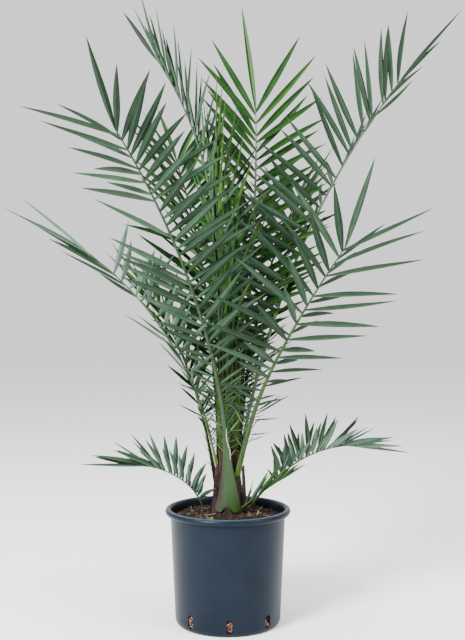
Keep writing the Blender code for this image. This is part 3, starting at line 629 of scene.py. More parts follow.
def settle(piece, slot, *nodes):
    """Rides a piece on the plant and hides the solids that it stands for; slot is not used."""
    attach(piece, "root")
    if nodes:
        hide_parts(*nodes)
    return piece


def add_node(made, kind, **values):
    """Adds a node to a finish and sets its inputs."""
    node = made.node_tree.nodes.new("ShaderNode" + kind)
    for name, value in values.items():
        node.inputs[name].default_value = value
    return node


def add_mix(made, blend_type):
    """Adds a node that mixes two colours."""
    mix = add_node(made, "Mix")
    mix.data_type = "RGBA"
    mix.blend_type = blend_type
    return mix


def put_between(made, socket, entry, result):
    """Leads what feeds a socket into a node's entry, and that node's result to the socket."""
    if socket.is_linked:
        made.node_tree.links.new(socket.links[0].from_socket, entry)
    made.node_tree.links.new(result, socket)


def cloud(made, place, colour, second, scale, blend):
    """Two colours mixed by noise; blend is how much of the second one shows."""
    noise = add_node(made, "TexNoise", Scale=scale, Detail=5.0, Roughness=0.62)
    ramp = add_node(made, "ValToRGB")
    first, last = ramp.color_ramp.elements
    first.position = 0.5 - 0.22 * blend - 0.05
    last.position = 0.5 + 0.22 * (1.0 - blend) + 0.05
    first.color, last.color = tone(*colour), tone(*second)
    made.node_tree.links.new(place, noise.inputs["Vector"])
    made.node_tree.links.new(noise.outputs["Fac"], ramp.inputs["Fac"])
    return ramp.outputs["Color"]


def add_veins(made):
    """Fine lines along a blade's grain, a paler line on its fold and darker edges.

    The grain runs from -1 at one edge over 0 on the fold to 1 at the other.
    """
    links = made.node_tree.links
    shader = made.node_tree.nodes["Principled BSDF"]
    grain = add_node(made, "UVMap")
    grain.uv_map = "grain"
    wave = add_node(made, "TexWave", Scale=1.5, Distortion=0.6)
    wave.bands_direction = "X"
    lines = add_node(made, "Bump", Strength=0.2, Distance=0.00008)
    links.new(grain.outputs["UV"], wave.inputs["Vector"])
    links.new(wave.outputs["Fac"], lines.inputs["Height"])
    put_between(made, shader.inputs["Normal"], lines.inputs["Normal"], lines.outputs["Normal"])
    across = add_node(made, "SeparateXYZ")
    from_fold = add_node(made, "Math")
    from_fold.operation = "ABSOLUTE"
    shades = add_node(made, "ValToRGB")
    stops = shades.color_ramp.elements
    stops[0].color, stops[1].color = FOLD_SHADE, EDGE_SHADE
    for position, shade in BLADE_SHADES:
        stops.new(position).color = (shade, shade, shade, 1.0)
    product = add_mix(made, "MULTIPLY")
    product.inputs["Factor"].default_value = 1.0
    links.new(grain.outputs["UV"], across.inputs["Vector"])
    links.new(across.outputs["X"], from_fold.inputs[0])
    links.new(from_fold.outputs[0], shades.inputs["Fac"])
    links.new(shades.outputs["Color"], product.inputs["B"])
    put_between(made, shader.inputs["Base Color"], product.inputs["A"], product.outputs["Result"])


def surface(name, colour, rough=0.55, second=None, scale=60.0, blend=0.5, bump=None,
            stretch=(1.0, 1.0, 1.0), shine=0.25, glint=(1.0, 1.0, 1.0), veins=False):
    """A finish: one colour, or two mixed by noise on the object's own coordinates, with relief from noise.

    second is the other colour, scale the noise's scale and blend how much of it shows.  bump is
    (scale, height in metres), shine the strength of reflections and glint their colour.
    """
    made = bpy.data.materials.new(name)
    made.use_nodes = True
    links = made.node_tree.links
    shader = made.node_tree.nodes["Principled BSDF"]
    shader.inputs["Base Color"].default_value = tone(*colour)
    shader.inputs["Roughness"].default_value = rough
    shader.inputs["Specular IOR Level"].default_value = shine
    shader.inputs["Specular Tint"].default_value = (*glint, 1.0)
    mapping = add_node(made, "Mapping", Scale=stretch)
    links.new(add_node(made, "TexCoord").outputs["Object"], mapping.inputs["Vector"])
    place = mapping.outputs["Vector"]
    if second:
        links.new(cloud(made, place, colour, second, scale, blend), shader.inputs["Base Color"])
    if bump:
        fine = add_node(made, "TexNoise", Scale=bump[0], Detail=6.0)
        relief = add_node(made, "Bump", Strength=1.0, Distance=bump[1])
        links.new(place, fine.inputs["Vector"])
        links.new(fine.outputs["Fac"], relief.inputs["Height"])
        links.new(relief.outputs["Normal"], shader.inputs["Normal"])
    if veins:
        add_veins(made)
    return made


def surfaces(rows, **more):
    """Finishes that differ in name, colour, second colour and roughness only."""
    return [surface(name, first, rough=rough, second=other, **more) for name, first, other, rough in rows]


def mix_by(made, attribute, colour, amount=1.0):
    """Turns a finish to another colour where the piece's own attribute is high."""
    links = made.node_tree.links
    socket = made.node_tree.nodes["Principled BSDF"].inputs["Base Color"]
    place = add_node(made, "Attribute")
    place.attribute_name = attribute
    share = add_node(made, "Math")
    share.operation = "MULTIPLY"
    share.inputs[1].default_value = amount
    mix = add_mix(made, "MIX")
    mix.inputs["A"].default_value = socket.default_value
    mix.inputs["B"].default_value = tone(*colour)
    links.new(place.outputs["Fac"], share.inputs[0])
    links.new(share.outputs[0], mix.inputs["Factor"])
    put_between(made, socket, mix.inputs["A"], mix.outputs["Result"])
    return made


def keep_attribute(piece, name, values):
    """Writes one number a point, from 0 to 1, into a piece."""
    layer = piece.data.attributes.new(name, "FLOAT", "POINT")
    layer.data.foreach_set("value", np.clip(values, 0.0, 1.0).ravel())


def stem_finish(name, colour, foot, border=None):
    """A stem's finish: it turns to the foot's colour where ripe is high and to the border's at its edges."""
    other = tuple(0.72 * part for part in colour)
    made = surface(name, colour, rough=0.48, second=other, scale=130.0, bump=(240.0, 0.0003),
                   stretch=(1.0, 1.0, 0.10), shine=0.16)
    mix_by(made, "ripe", foot)
    return mix_by(made, "border", border) if border else made


# Pot
def wall_radius(height):
    """Outer radius of the straight wall: it widens evenly from the foot to the rim."""
    share = (height - ROUND_FOOT) / (RIM_TOP - RIM_HEIGHT - ROUND_FOOT)
    return WALL_FOOT_RADIUS + (WALL_TOP_RADIUS - WALL_FOOT_RADIUS) * share


def outer_radius(height):
    """Outer radius at a height: the wall's, drawn in to the underside by a curve like a quarter ellipse."""
    height = np.asarray(height, float)
    low = np.clip(height / ROUND_FOOT, 0.0, 1.0)
    drawn_in = WALL_FOOT_RADIUS - UNDERSIDE_RADIUS
    curve = np.sqrt(np.clip(1.0 - (1.0 - low) ** 2.4, 0.0, 1.0))
    return wall_radius(np.maximum(height, ROUND_FOOT)) - drawn_in + drawn_in * curve


def turned(profile, columns):
    """Grid of a profile of (radius, height) rows turned about the upright axis."""
    profile = np.asarray(profile, float)
    return polar(profile[:, :1], full_turn(columns) + FIRST_BEARING, profile[:, 1:])


def slot_grid(top, side):
    """Angle and height of a grid round a slot: its rows pass from the slot's outline to the eighth's edge.

    The outline is a rounded oblong, by powers of the sine and the cosine.  top and side count the
    points along the eighth's edges.
    """
    ahead, back = np.linspace(-1, 1, top + 1)[:-1], np.linspace(1, -1, top + 1)[:-1]
    down, up = np.linspace(1, -1, side + 1)[:-1], np.linspace(-1, 1, side + 1)[:-1]
    x = np.concatenate([ahead, np.ones(side), back, -np.ones(side)])
    y = np.concatenate([np.ones(top), down, -np.ones(top), up])
    cos, sin = np.cos(np.arctan2(y, x)), np.sin(np.arctan2(y, x))
    middle = (SLOT_FROM + SLOT_TO) / 2.0
    hole_x = SLOT_WIDTH / 2.0 / SLOT_RADIUS * np.sign(cos) * np.abs(cos) ** 0.45
    hole_z = middle + (SLOT_TO - SLOT_FROM) / 2.0 * np.sign(sin) * np.abs(sin) ** 0.62
    edge_x = x * math.pi / SLOT_COUNT
    edge_z = middle + y * np.where(y > 0, SLOT_BAND_TOP - middle, middle - FLOOR_TOP)
    share = np.linspace(0.0, 1.0, 7)[:, None] ** 1.25
    return hole_x + (edge_x - hole_x) * share, hole_z + (edge_z - hole_z) * share


def make_pot(finish):
    """The pot as one closed skin: its band of slots, and its wall, rolled rim, foot and floor, turned."""
    side, top = 8, 16
    columns = SLOT_COUNT * top
    angle, height = slot_grid(top, side)
    skin = Parts()
    for k in range(SLOT_COUNT):
        bearing = FIRST_BEARING + TURN * k / SLOT_COUNT + angle
        rings = []
        for depth in (0.0, WALL):
            z = np.maximum(height, FLOOR_TOP) if depth else height
            rings.append(polar(outer_radius(height) - depth, bearing, z))
            skin.grid(rings[-1])
        skin.grid(np.stack([rings[0][0], rings[1][0]]))
    under_rim = RIM_TOP - RIM_HEIGHT
    rise = np.linspace(SLOT_BAND_TOP, under_rim - 0.001, 16)
    turn = np.linspace(ROLL_FROM, ROLL_TO, 22)
    roll_x = RIM_RADIUS - ROLL_OUT + ROLL_OUT * np.cos(turn)
    roll_z = RIM_TOP - ROLL_UP + ROLL_UP * np.sin(turn)
    drop = np.linspace(under_rim - 0.004, SLOT_BAND_TOP, 16)
    skin.grid(turned(np.concatenate([
        np.stack([outer_radius(rise), rise], axis=-1),
        [[wall_radius(under_rim) + ROLL_STEP, under_rim - 0.0002]],
        np.stack([roll_x, roll_z], axis=-1),
        np.stack([outer_radius(drop) - WALL, drop], axis=-1),
    ]), columns))
    foot = np.linspace(FLOOR_TOP, 0.0, 5)
    under = [[r, 0.0] for r in np.linspace(UNDERSIDE_RADIUS - 0.002, 0.0, 8)]
    skin.grid(turned(np.concatenate([np.stack([outer_radius(foot), foot], axis=-1), under]), columns))
    inside = outer_radius(FLOOR_TOP) - WALL
    skin.grid(turned([[r, FLOOR_TOP] for r in np.linspace(inside, 0.0, 8)], columns))
    piece = skin.piece("pot_shell", [finish], sharp=40.0, weld=WELD)
    mark_pot(piece, under_rim)
    return settle(piece, "pot_plastic", "pot")


def mark_pot(piece, under_rim):
    """Keeps where the pot gets a painted highlight with patchy wear, on the rim's crest, and painted shade,
    inside and as patchy painted shadow in a band below the rim.
    """
    at = np.empty(3 * len(piece.data.vertices))
    piece.data.vertices.foreach_get("co", at)
    x, y, z = at.reshape(-1, 3).T
    around, out = np.arctan2(y, x), np.hypot(x, y)
    patches = 0.5 + 0.5 * lattice(np.cos(around) * 9.0 + 20.0, np.sin(around) * 9.0 + 20.0, 15)
    # The rim's crest is lightened in patches: a painted highlight along the rolled rim that also reads as
    # wear
    crest = np.clip(1.0 - np.abs(z - RIM_TOP) / CREST_HALF, 0.0, 1.0) * (out > RIM_RADIUS - CREST_WIDTH)
    keep_attribute(piece, "rim_highlight_and_wear", crest * (0.35 + 0.65 * patches))
    # Painted shadow in patches in a band under the rim, and painted shade over the inside of the pot
    band = np.exp(-((z - (under_rim - RIM_SHADOW_BELOW)) / RIM_SHADOW_SPREAD) ** 2) * (out > WALL_FOOT_RADIUS)
    inside = (out < outer_radius(z) - 0.6 * WALL) & (z < under_rim)
    rim_shadow_and_inner_shade = np.maximum(band * np.clip(2.4 * patches - 0.9, 0.0, 1.0), 0.8 * inside)
    keep_attribute(piece, "rim_shadow_and_inner_shade", rim_shadow_and_inner_shade)


# Soil
def soil_height(radius):
    """Height of the soil: flat round the trunk and falling evenly to the wall."""
    share = np.clip((np.asarray(radius) - SOIL_FLAT) / (wall_radius(SOIL_EDGE) - WALL - SOIL_FLAT), 0.0, 1.0)
    return SOIL_MIDDLE + (SOIL_EDGE - SOIL_MIDDLE) * share


def lumps(x, y):
    """Crumbs of the soil: three sizes of smooth noise added up."""
    return sum(height * lattice(x * often, y * often, seed) for height, often, seed in CRUMBS)


def make_soil(finish):
    """The soil as one skin: a crumbly disc, its side just inside the wall, and its flat underside."""
    columns = 240
    edge = wall_radius(SOIL_EDGE) - WALL - GAP
    disc = np.linspace(0.0, edge, 72)
    side = np.linspace(SOIL_EDGE - 0.003, 0.006, 50)
    points = turned(np.concatenate([
        np.stack([disc, soil_height(disc)], axis=-1),
        np.stack([outer_radius(side) - WALL - GAP, side], axis=-1),
        [[UNDERSIDE_RADIUS - 0.001, SOIL_UNDERSIDE], [0.0, SOIL_UNDERSIDE]],
    ]), columns)
    top = points[: len(disc)]
    fade = np.clip((edge - disc) / SOIL_FADE, 0.0, 1.0)[:, None]
    top[..., 2] += (lumps(top[..., 0], top[..., 1]) - 0.0004) * fade
    wall = points[len(disc) : len(disc) + len(side)]
    turn = np.arange(columns) * float(NOISE_TABLE) / columns
    dents = ROOT_DENTS * (lattice(turn[None, :], side[:, None] * 320.0, 14) - 1.0)
    dents = dents * (side[:, None] < ROOT_ZONE)
    wall[..., :2] *= 1.0 + (dents / 0.12)[..., None]
    skin = Parts()
    skin.grid(points)
    return settle(skin.piece("soil_bed", [finish], weld=WELD), "potting_soil", "soil")


def scatter_on_soil(count, seed, inner=0.040, outer=0.128):
    """Seeded places on the soil, evenly over its area, each with its height."""
    rng = np.random.default_rng(seed)
    radius = np.sqrt(rng.uniform(inner ** 2, outer ** 2, count))
    turn = rng.uniform(0.0, TURN, count)
    x, y = radius * np.cos(turn), radius * np.sin(turn)
    return rng, np.stack([x, y, soil_height(radius) + lumps(x, y)], axis=-1)


def turned_frames(rng, count, tilt):
    """Seeded sets of three square unit vectors, turned about the upright axis and tilted by some degrees."""
    a = rng.uniform(0.0, TURN, count)
    lean = np.radians(rng.normal(0.0, tilt, (2, count)))
    first = unit(np.stack([np.cos(a), np.sin(a), np.sin(lean[0])], axis=-1))
    second = unit(np.stack([-np.sin(a), np.cos(a), np.sin(lean[1])], axis=-1))
    third = unit(np.cross(first, second))
    return first, np.cross(third, first), third


def make_chips(finishes):
    """Bark chips: boxes of eight jittered corners, long, narrow and flat, lying at a slant on the soil."""
    rng, place = scatter_on_soil(CHIP_COUNT, SEEDS["chips"])
    axes = np.stack(turned_frames(rng, CHIP_COUNT, CHIP_TILT), axis=1)
    size = np.stack([rng.uniform(*pair, CHIP_COUNT) for pair in zip(CHIP_LEAST, CHIP_MOST)], axis=-1)
    square = ((-1, -1), (1, -1), (1, 1), (-1, 1))
    corner = np.array([[i, j, k] for k in (-1, 1) for i, j in square], float)
    jitter = corner[None] * rng.uniform(0.55, 1.1, (CHIP_COUNT, 8, 3)) * size[:, None, :]
    points = place[:, None, :] + jitter @ axes + 0.0006 * UPWARDS
    box = np.array([[0, 3, 2, 1], [4, 5, 6, 7], [0, 1, 5, 4], [1, 2, 6, 5], [2, 3, 7, 6], [3, 0, 4, 7]])
    faces = (box[None] + 8 * np.arange(CHIP_COUNT)[:, None, None]).reshape(-1, 4)
    deal = rng.choice(len(finishes), CHIP_COUNT, p=CHIP_SHARES)
    skin = Parts()
    skin.add(points, [faces], [np.repeat(deal, 6)])
    return settle(skin.piece("soil_chips", finishes, sharp=30.0), "potting_soil")


def tubes(path, radius, around):
    """Closed tubes round many paths at once, as (points, faces).

    path holds rows of points and radius one number for each.  Each ring stands square to the path.
    """
    count, steps, _ = path.shape
    along = unit(np.gradient(path, axis=1))
    helper = np.where(np.abs(along[..., 2:]) > 0.9, np.array([1.0, 0.0, 0.0]), UPWARDS)
    side = unit(np.cross(along, helper))
    other = np.cross(along, side)
    turn = full_turn(around)
    ring = side[:, :, None] * np.cos(turn)[:, None] + other[:, :, None] * np.sin(turn)[:, None]
    points = path[:, :, None] + ring * radius[..., None, None]
    body = quads(steps, around, closed=True)
    start = steps * around * np.arange(count)[:, None, None]
    caps = np.array([list(range(around)), list(range((steps - 1) * around, steps * around))])
    return points, [(body[None] + start).reshape(-1, 4), (caps[None] + start).reshape(-1, around)]


def tube_piece(name, slot, finishes, shares, rng, path, radius, around):
    """A piece of many tubes, each dealt one of the finishes."""
    count, steps, _ = path.shape
    points, faces = tubes(path, radius, around)
    deal = rng.choice(len(finishes), count, p=shares)
    skin = Parts()
    skin.add(points, faces, [np.repeat(deal, (steps - 1) * around), np.repeat(deal, 2)])
    return settle(skin.piece(name, finishes), slot)


def make_litter(finishes):
    """Twigs, pale straws and root ends on the soil: thin tubes along slightly curved runs."""
    count, steps = LITTER_COUNT, 7
    rng, place = scatter_on_soil(count, SEEDS["litter"], inner=0.044)
    turn = rng.uniform(0.0, TURN, count)[:, None]
    t = np.linspace(-0.5, 0.5, steps)[None, :]
    length = rng.uniform(*LITTER_LENGTH, count)[:, None]
    bow = rng.uniform(-0.35, 0.35, count)[:, None] * length * (t ** 2)
    rise = rng.uniform(0.0, 0.30, count)[:, None] * length * (t + 0.5)
    path = place[:, None, :] + np.stack([
        np.cos(turn) * length * t - np.sin(turn) * bow,
        np.sin(turn) * length * t + np.cos(turn) * bow,
        0.0012 + rise,
    ], axis=-1)
    reach = np.linalg.norm(path[..., :2], axis=-1, keepdims=True)
    path[..., :2] *= np.minimum(1.0, LITTER_REACH / reach)
    radius = rng.uniform(*LITTER_RADIUS, count)[:, None] * np.linspace(1.0, 0.6, steps)
    return tube_piece("soil_litter", "potting_soil", finishes, LITTER_SHARES, rng, path, radius, 4)


def make_sprouts(finishes):
    """Tiny seedlings by the palm's foot: four narrow blades at each spot, which lean every way."""
    rng = np.random.default_rng(SEEDS["sprouts"])
    places = np.repeat(np.array(SPROUT_SPOTS), 4, axis=0)
    places = places + rng.normal(0.0, 0.004, places.shape)
    count = len(places)
    turn = rng.uniform(0.0, TURN, count)
    tilt = np.radians(rng.uniform(20.0, 70.0, count))
    ahead = polar(np.sin(tilt), turn, np.cos(tilt))
    across = np.stack([-np.sin(turn), np.cos(turn), 0.0 * turn], axis=-1)
    x, y = places.T
    root = np.stack([x, y, soil_height(np.linalg.norm(places, axis=-1)) + lumps(x, y)], axis=-1)
    deal = rng.integers(0, len(finishes), count)
    length = rng.uniform(*SPROUT_LENGTH, count)
    width = rng.uniform(*SPROUT_WIDTH, count)
    skin = Parts()
    blades(skin, root, ahead, across, np.cross(ahead, across), length, width, deal, deal, rng)
    return settle(skin.piece("soil_sprouts", finishes), "leaf_young")


def make_slot_roots(finishes):
    """Root ends that show in the slots: short curly tubes against the soil's side."""
    rng = np.random.default_rng(SEEDS["roots"])
    count, steps = ROOTS_A_SLOT * SLOT_COUNT, 7
    slot = np.repeat(np.arange(SLOT_COUNT), ROOTS_A_SLOT)
    bearing = FIRST_BEARING + TURN * slot / SLOT_COUNT
    t = np.linspace(0.0, 1.0, steps)[None, :]
    start = rng.uniform(-0.0065, 0.0065, count)[:, None]
    swing = rng.uniform(-0.005, 0.005, count)[:, None]
    y = start + swing * np.sin(t * rng.uniform(2.0, 6.0, count)[:, None])
    low = rng.uniform(SLOT_FROM + 0.001, SLOT_TO - 0.012, count)[:, None]
    z = np.minimum(low + t * rng.uniform(0.004, 0.016, count)[:, None], SLOT_TO - 0.003)
    stand_off = 0.0014 * np.sin(math.pi * t) * rng.uniform(0.2, 1.0, count)[:, None]
    depth = outer_radius(z) - 0.0030 + stand_off
    path = polar(depth, bearing[:, None] + np.clip(y, -ROOT_HALF_SPAN, ROOT_HALF_SPAN) / depth, z)
    radius = rng.uniform(*ROOT_RADIUS, count)[:, None] * np.linspace(1.0, 0.5, steps)
    return tube_piece("slot_roots", "potting_soil", finishes, ROOT_SHARES, rng, path, radius, 5)


# Trunk
def trunk_radius(height):
    """Radius of the trunk: the foot's radius less a power of the height's share."""
    share = np.clip(np.asarray(height, float) / TRUNK_HEIGHT, 0.0, 1.0)
    return TRUNK_RADIUS - (TRUNK_RADIUS - TRUNK_TOP_RADIUS) * share ** TRUNK_SWELL


def bark_relief(turn, height):
    """Relief of the fibre wrap: scalloped rims of old leaf bases, long ridges and a slanting weave."""
    around = turn / TURN
    row = height / OLD_BASE + 0.5 * np.cos(turn * 2.5) ** 2
    rim = (row - np.floor(row)) ** 2.0
    ridge = lattice(around * 60.0 + 0.0 * height, height * 60.0, 61, 60)
    slants = ((90.0, 62), (-90.0, 63))
    strands = [lattice(around * 140.0 + slant * height, height * 160.0, seed) for slant, seed in slants]
    return BARK_RIM * rim + BARK_RIDGE * ridge + BARK_WEAVE * np.maximum(*strands) - 0.0012


def make_trunk(finish):
    """The trunk: its taper turned about the axis, roughened by the relief of the fibre wrap, and domed."""
    heights = np.linspace(0.0, TRUNK_HEIGHT - 0.0005, 150)
    dome = np.linspace(0.0, 1.0, 8)[1:]
    rise = np.concatenate([heights, heights[-1] + TRUNK_DOME * dome])[:, None]
    radius = np.concatenate([trunk_radius(heights), TRUNK_TOP_RADIUS * np.sqrt(1.0 - dome ** 2)])
    turn = full_turn(220)
    spread = np.concatenate([np.ones(len(heights)), 1.0 - dome])[:, None]
    r = radius[:, None] + bark_relief(turn[None, :], rise) * spread
    points = polar(r, turn, TRUNK_FOOT + rise - np.where(rise < 0.001, TRUNK_SUNK, 0.0))
    skin = Parts()
    skin.grid(np.concatenate([points[:1] * UPWARDS, points]))
    return settle(skin.piece("trunk_bark", [finish], weld=FINE_WELD), "trunk_fibre", "trunk")


def make_fibres(finishes):
    """Loose fibres round the trunk: hair-thin tubes that climb at a slant and stand off it a little."""
    rng = np.random.default_rng(SEEDS["fibres"])
    count, steps = FIBRE_COUNT, 8
    turn = rng.uniform(0.0, TURN, count)[:, None]
    low = rng.uniform(0.000, TRUNK_HEIGHT - 0.02, count)[:, None]
    length = rng.uniform(*FIBRE_LENGTH, count)[:, None]
    t = np.linspace(0.0, 1.0, steps)[None, :]
    height = np.minimum(low + length * t, TRUNK_HEIGHT - 0.004)
    slant = rng.choice([-1.0, 1.0], count)[:, None] * rng.uniform(*FIBRE_SLANT, count)[:, None]
    off = rng.uniform(0.0000, 0.0014, count)[:, None] * np.sin(math.pi * t)
    off = off + rng.exponential(0.0010, count)[:, None] * t ** 3
    angle = turn + slant * length * t + rng.uniform(-0.05, 0.05, count)[:, None] * np.sin(5.0 * t)
    path = polar(trunk_radius(height) + 0.0004 + off, angle, TRUNK_FOOT + height)
    path[:, :, 2] += rng.uniform(0.0, 0.0005, (count, 1)) * np.arange(steps)
    thick = rng.uniform(*FIBRE_RADIUS, count)[:, None] * np.linspace(1.0, 0.5, steps)
    return tube_piece("trunk_fibres", "trunk_fibre", finishes, FIBRE_SHARES, rng, path, thick, 3)


def make_stubs(finishes):
    """Cut leaf bases: each a crescent that hugs the trunk, thinner and ragged towards its top."""
    around, steps = 40, 44
    t = np.linspace(0.0, 1.0, steps)[:, None]
    turn = full_turn(around)[None, :]
    for number, (name, (bearing, height, length, lean, half, thick)) in enumerate(STUBS.items()):
        b = math.radians(bearing)
        rise = height + length * t
        x = half * (1.0 - 0.25 * t) * np.cos(turn)
        body = thick * (1.0 - 0.35 * t)
        away = trunk_radius(rise) + GAP + math.tan(math.radians(lean)) * length * t
        bowl = away - np.sqrt(np.maximum(away ** 2 - x ** 2, 0.0))
        y = away - bowl * 0.85 + body * np.where(np.sin(turn) > 0.0, np.abs(np.sin(turn)) ** 0.6, 0.0)
        fray = 0.5 + 0.5 * lattice(x * 900.0 + 40.0, 0.0 * t + 3.0 + number, 81)
        z = SOIL_MIDDLE + rise + STUB_FRAY * fray * t ** 6 - 0.001 * (1 - t) * (height < 0.005)
        dents = STUB_DENTS[0] * lattice(turn * 6.0, t * 4.0, 82 + number)
        dents = dents + STUB_DENTS[1] * lattice(turn * 14.0, t * 22.0, 83 + number)
        y = y + dents * (np.sin(turn) > 0.1)
        out = np.array([math.cos(b), math.sin(b), 0.0])
        across = np.array([-math.sin(b), math.cos(b), 0.0])
        points = y[..., None] * out + x[..., None] * across + z[..., None] * UPWARDS
        low, high = points[:1].mean(axis=1, keepdims=True), points[-1:].mean(axis=1, keepdims=True)
        high[..., 2] -= 0.004
        skin = Parts()
        skin.grid(np.concatenate([np.repeat(low, around, 1), points, np.repeat(high, around, 1)]))
        piece = skin.piece(name + "_bark", [finishes[number % len(finishes)]], sharp=50.0, weld=FINE_WELD)
        settle(piece, "dead_sheath", name)


# Fronds
def spot(radius, bearing, height):
    """One point at a radius, a bearing in radians and a height."""
    return np.array([radius * math.cos(bearing), radius * math.sin(bearing), height])


def rib_path(spec, foot_radius, count=61):
    """Share of length, place, direction, side and upper face along a rib.

    The rib leans to its heading by an angle that changes evenly from foot to bend and from bend to
    tip; its places are the sum of its steps.  Near the foot its face turns to the trunk.
    """
    s = np.linspace(0.0, 1.0, count)
    lean = np.radians(np.interp(s, [0.0, spec["bend"], 1.0], spec["lean"]))
    heading = np.radians(spec["heading"] + spec["sweep"] * s ** 1.5)
    roll = math.radians(spec["roll"])
    out = np.stack([np.cos(heading), np.sin(heading), 0.0 * s], axis=-1)
    across = np.stack([-np.sin(heading), np.cos(heading), 0.0 * s], axis=-1)
    along = np.sin(lean)[:, None] * out + np.cos(lean)[:, None] * UPWARDS
    upper = -np.cos(lean)[:, None] * out + np.sin(lean)[:, None] * UPWARDS
    to_trunk = math.radians((spec["foot"][0] - spec["heading"] + 180.0) % 360.0 - 180.0)
    turn = np.clip((s - 0.05) / 0.2, 0.0, 1.0) * roll + np.clip(1.0 - s / 0.14, 0.0, 1.0) * to_trunk
    turn = turn[:, None]
    side = np.cos(turn) * across + np.sin(turn) * upper
    face = -np.sin(turn) * across + np.cos(turn) * upper
    bearing = math.radians(spec["foot"][0])
    step = (along[1:] + along[:-1]) / 2.0 * spec["length"] / (count - 1)
    foot = spot(foot_radius, bearing, SOIL_MIDDLE + spec["foot"][1])
    at = np.concatenate([[foot], foot + np.cumsum(step, axis=0)])
    return s, at, along, side, face


def at_share(s, values, share):
    """Rows of vectors read at one share of the length, or at many."""
    return np.stack([np.interp(share, s, values[:, k]) for k in range(3)], axis=-1)


def growth(spec):
    """How stout a rib is for its length, as a share of the stoutest."""
    return min(1.0, 0.35 + 0.75 * spec["length"])


def rib_half_width(spec, s):
    """Half the width of the rib at a share of its length."""
    wide, size = spec["sheath"], growth(spec)
    if wide > BROAD_SHEATH:
        shares = [0.0, 0.04, 0.09, 0.15, 0.25, 0.5, 1.0]
        return np.interp(s, shares, [wide, wide * 0.50, wide * 0.30, 0.0070, 0.0054, 0.0038, 0.0014])
    halves = [wide, 0.0080 * size, 0.0062 * size, 0.0040 * size, 0.0013]
    return np.interp(s, [0.0, 0.10, 0.25, 0.55, 1.0], halves)


def sheath_half_width(spec, s):
    """Half the width of the broad sheath, which narrows over its lowest 180 mm and then is the rib's."""
    height = s * spec["length"]
    sheath = np.where(height < SHEATH_HEIGHTS[-1], np.interp(height, SHEATH_HEIGHTS, SHEATH_HALVES), 0.0)
    return np.maximum(sheath, np.where(s > 0.10, rib_half_width(spec, s), 0.0))


def rib_thickness(spec, s):
    """Thickness of the rib at a share of its length."""
    size = growth(spec)
    return np.interp(s, [0.0, 0.15, 0.5, 1.0], [0.0060 * size, 0.0085 * size, 0.0060 * size, 0.0024])


def rib_solid(spec, foot_radius):
    """Points and faces of the solid rib: four-sided rings along its path."""
    s, at, _, side, face = rib_path(spec, foot_radius)
    points = []
    for share in RIB_SHARES:
        here = at_share(s, at, share)
        across, above = unit(at_share(s, side, share)), unit(at_share(s, face, share))
        half, thick = float(rib_half_width(spec, share)), float(rib_thickness(spec, share))
        for a, b in ((-half, 0.35), (half, 0.35), (0.72 * half, -0.6), (-0.72 * half, -0.6)):
            points.append(here + across * a + above * b * thick)
    faces = [tuple(f) for f in quads(len(RIB_SHARES), 4, closed=True)]
    last = 4 * (len(RIB_SHARES) - 1)
    faces += [tuple(range(4)), tuple(range(last, last + 4))]
    return np.array(points), faces


def leaf_stations(root, ahead, length, width):
    """Root, middle and tip of a leaflet, each with half width, rise of the edges and depth of the keel."""
    thick = max(LEAF_THICK * length, LEAST_THICK)
    droop = -LEAF_DROOP * length * UPWARDS
    return [
        (root, min(ROOT_HALF_WIDTH, 0.45 * width), ROOT_RISE, ROOT_KEEL),
        (root + ahead * LEAF_WIDEST * length, width / 2.0, 0.6 * thick, 0.4 * thick),
        (root + ahead * length + droop, 0.0, 0.0, 0.0),
    ]


def leaf_solid(root, ahead, across, above, length, width):
    """Points and faces of a solid leaflet: a small root, a middle with a keel below, and a sharp tip."""
    *rings, (tip, _, _, _) = leaf_stations(root, ahead, length, width)
    points = []
    for here, half, rise, keel in rings:
        edge = here + above * rise
        points += [edge - across * half, edge + across * half, here - above * keel]
    points.append(tip)
    faces = [(0, 1, 2), (3, 6, 4), (4, 6, 5), (5, 6, 3)]
    for j in range(3):
        n = (j + 1) % 3
        faces += [(j, 3 + j, 3 + n), (j, 3 + n, n)]
    return points, faces


def leaf_space(root, ahead, across, above, length, width, clear):
    """Points and faces of the room that a leaflet needs: five points, a clearance out, at each station."""
    points = []
    for here, half, rise, keel in leaf_stations(root, ahead, length + clear, width):
        wide = across * (half + clear)
        high, low = above * (rise + clear), above * (rise - clear)
        points += [here + high - wide, here + high + wide, here + low + wide]
        points += [here - above * (keel + 1.3 * clear), here + low - wide]
    faces = [(4, 3, 2, 1, 0), (10, 11, 12, 13, 14)]
    for k in (0, 5):
        faces += [(k + j, k + (j + 1) % 5, k + 5 + (j + 1) % 5, k + 5 + j) for j in range(5)]
    return points, faces


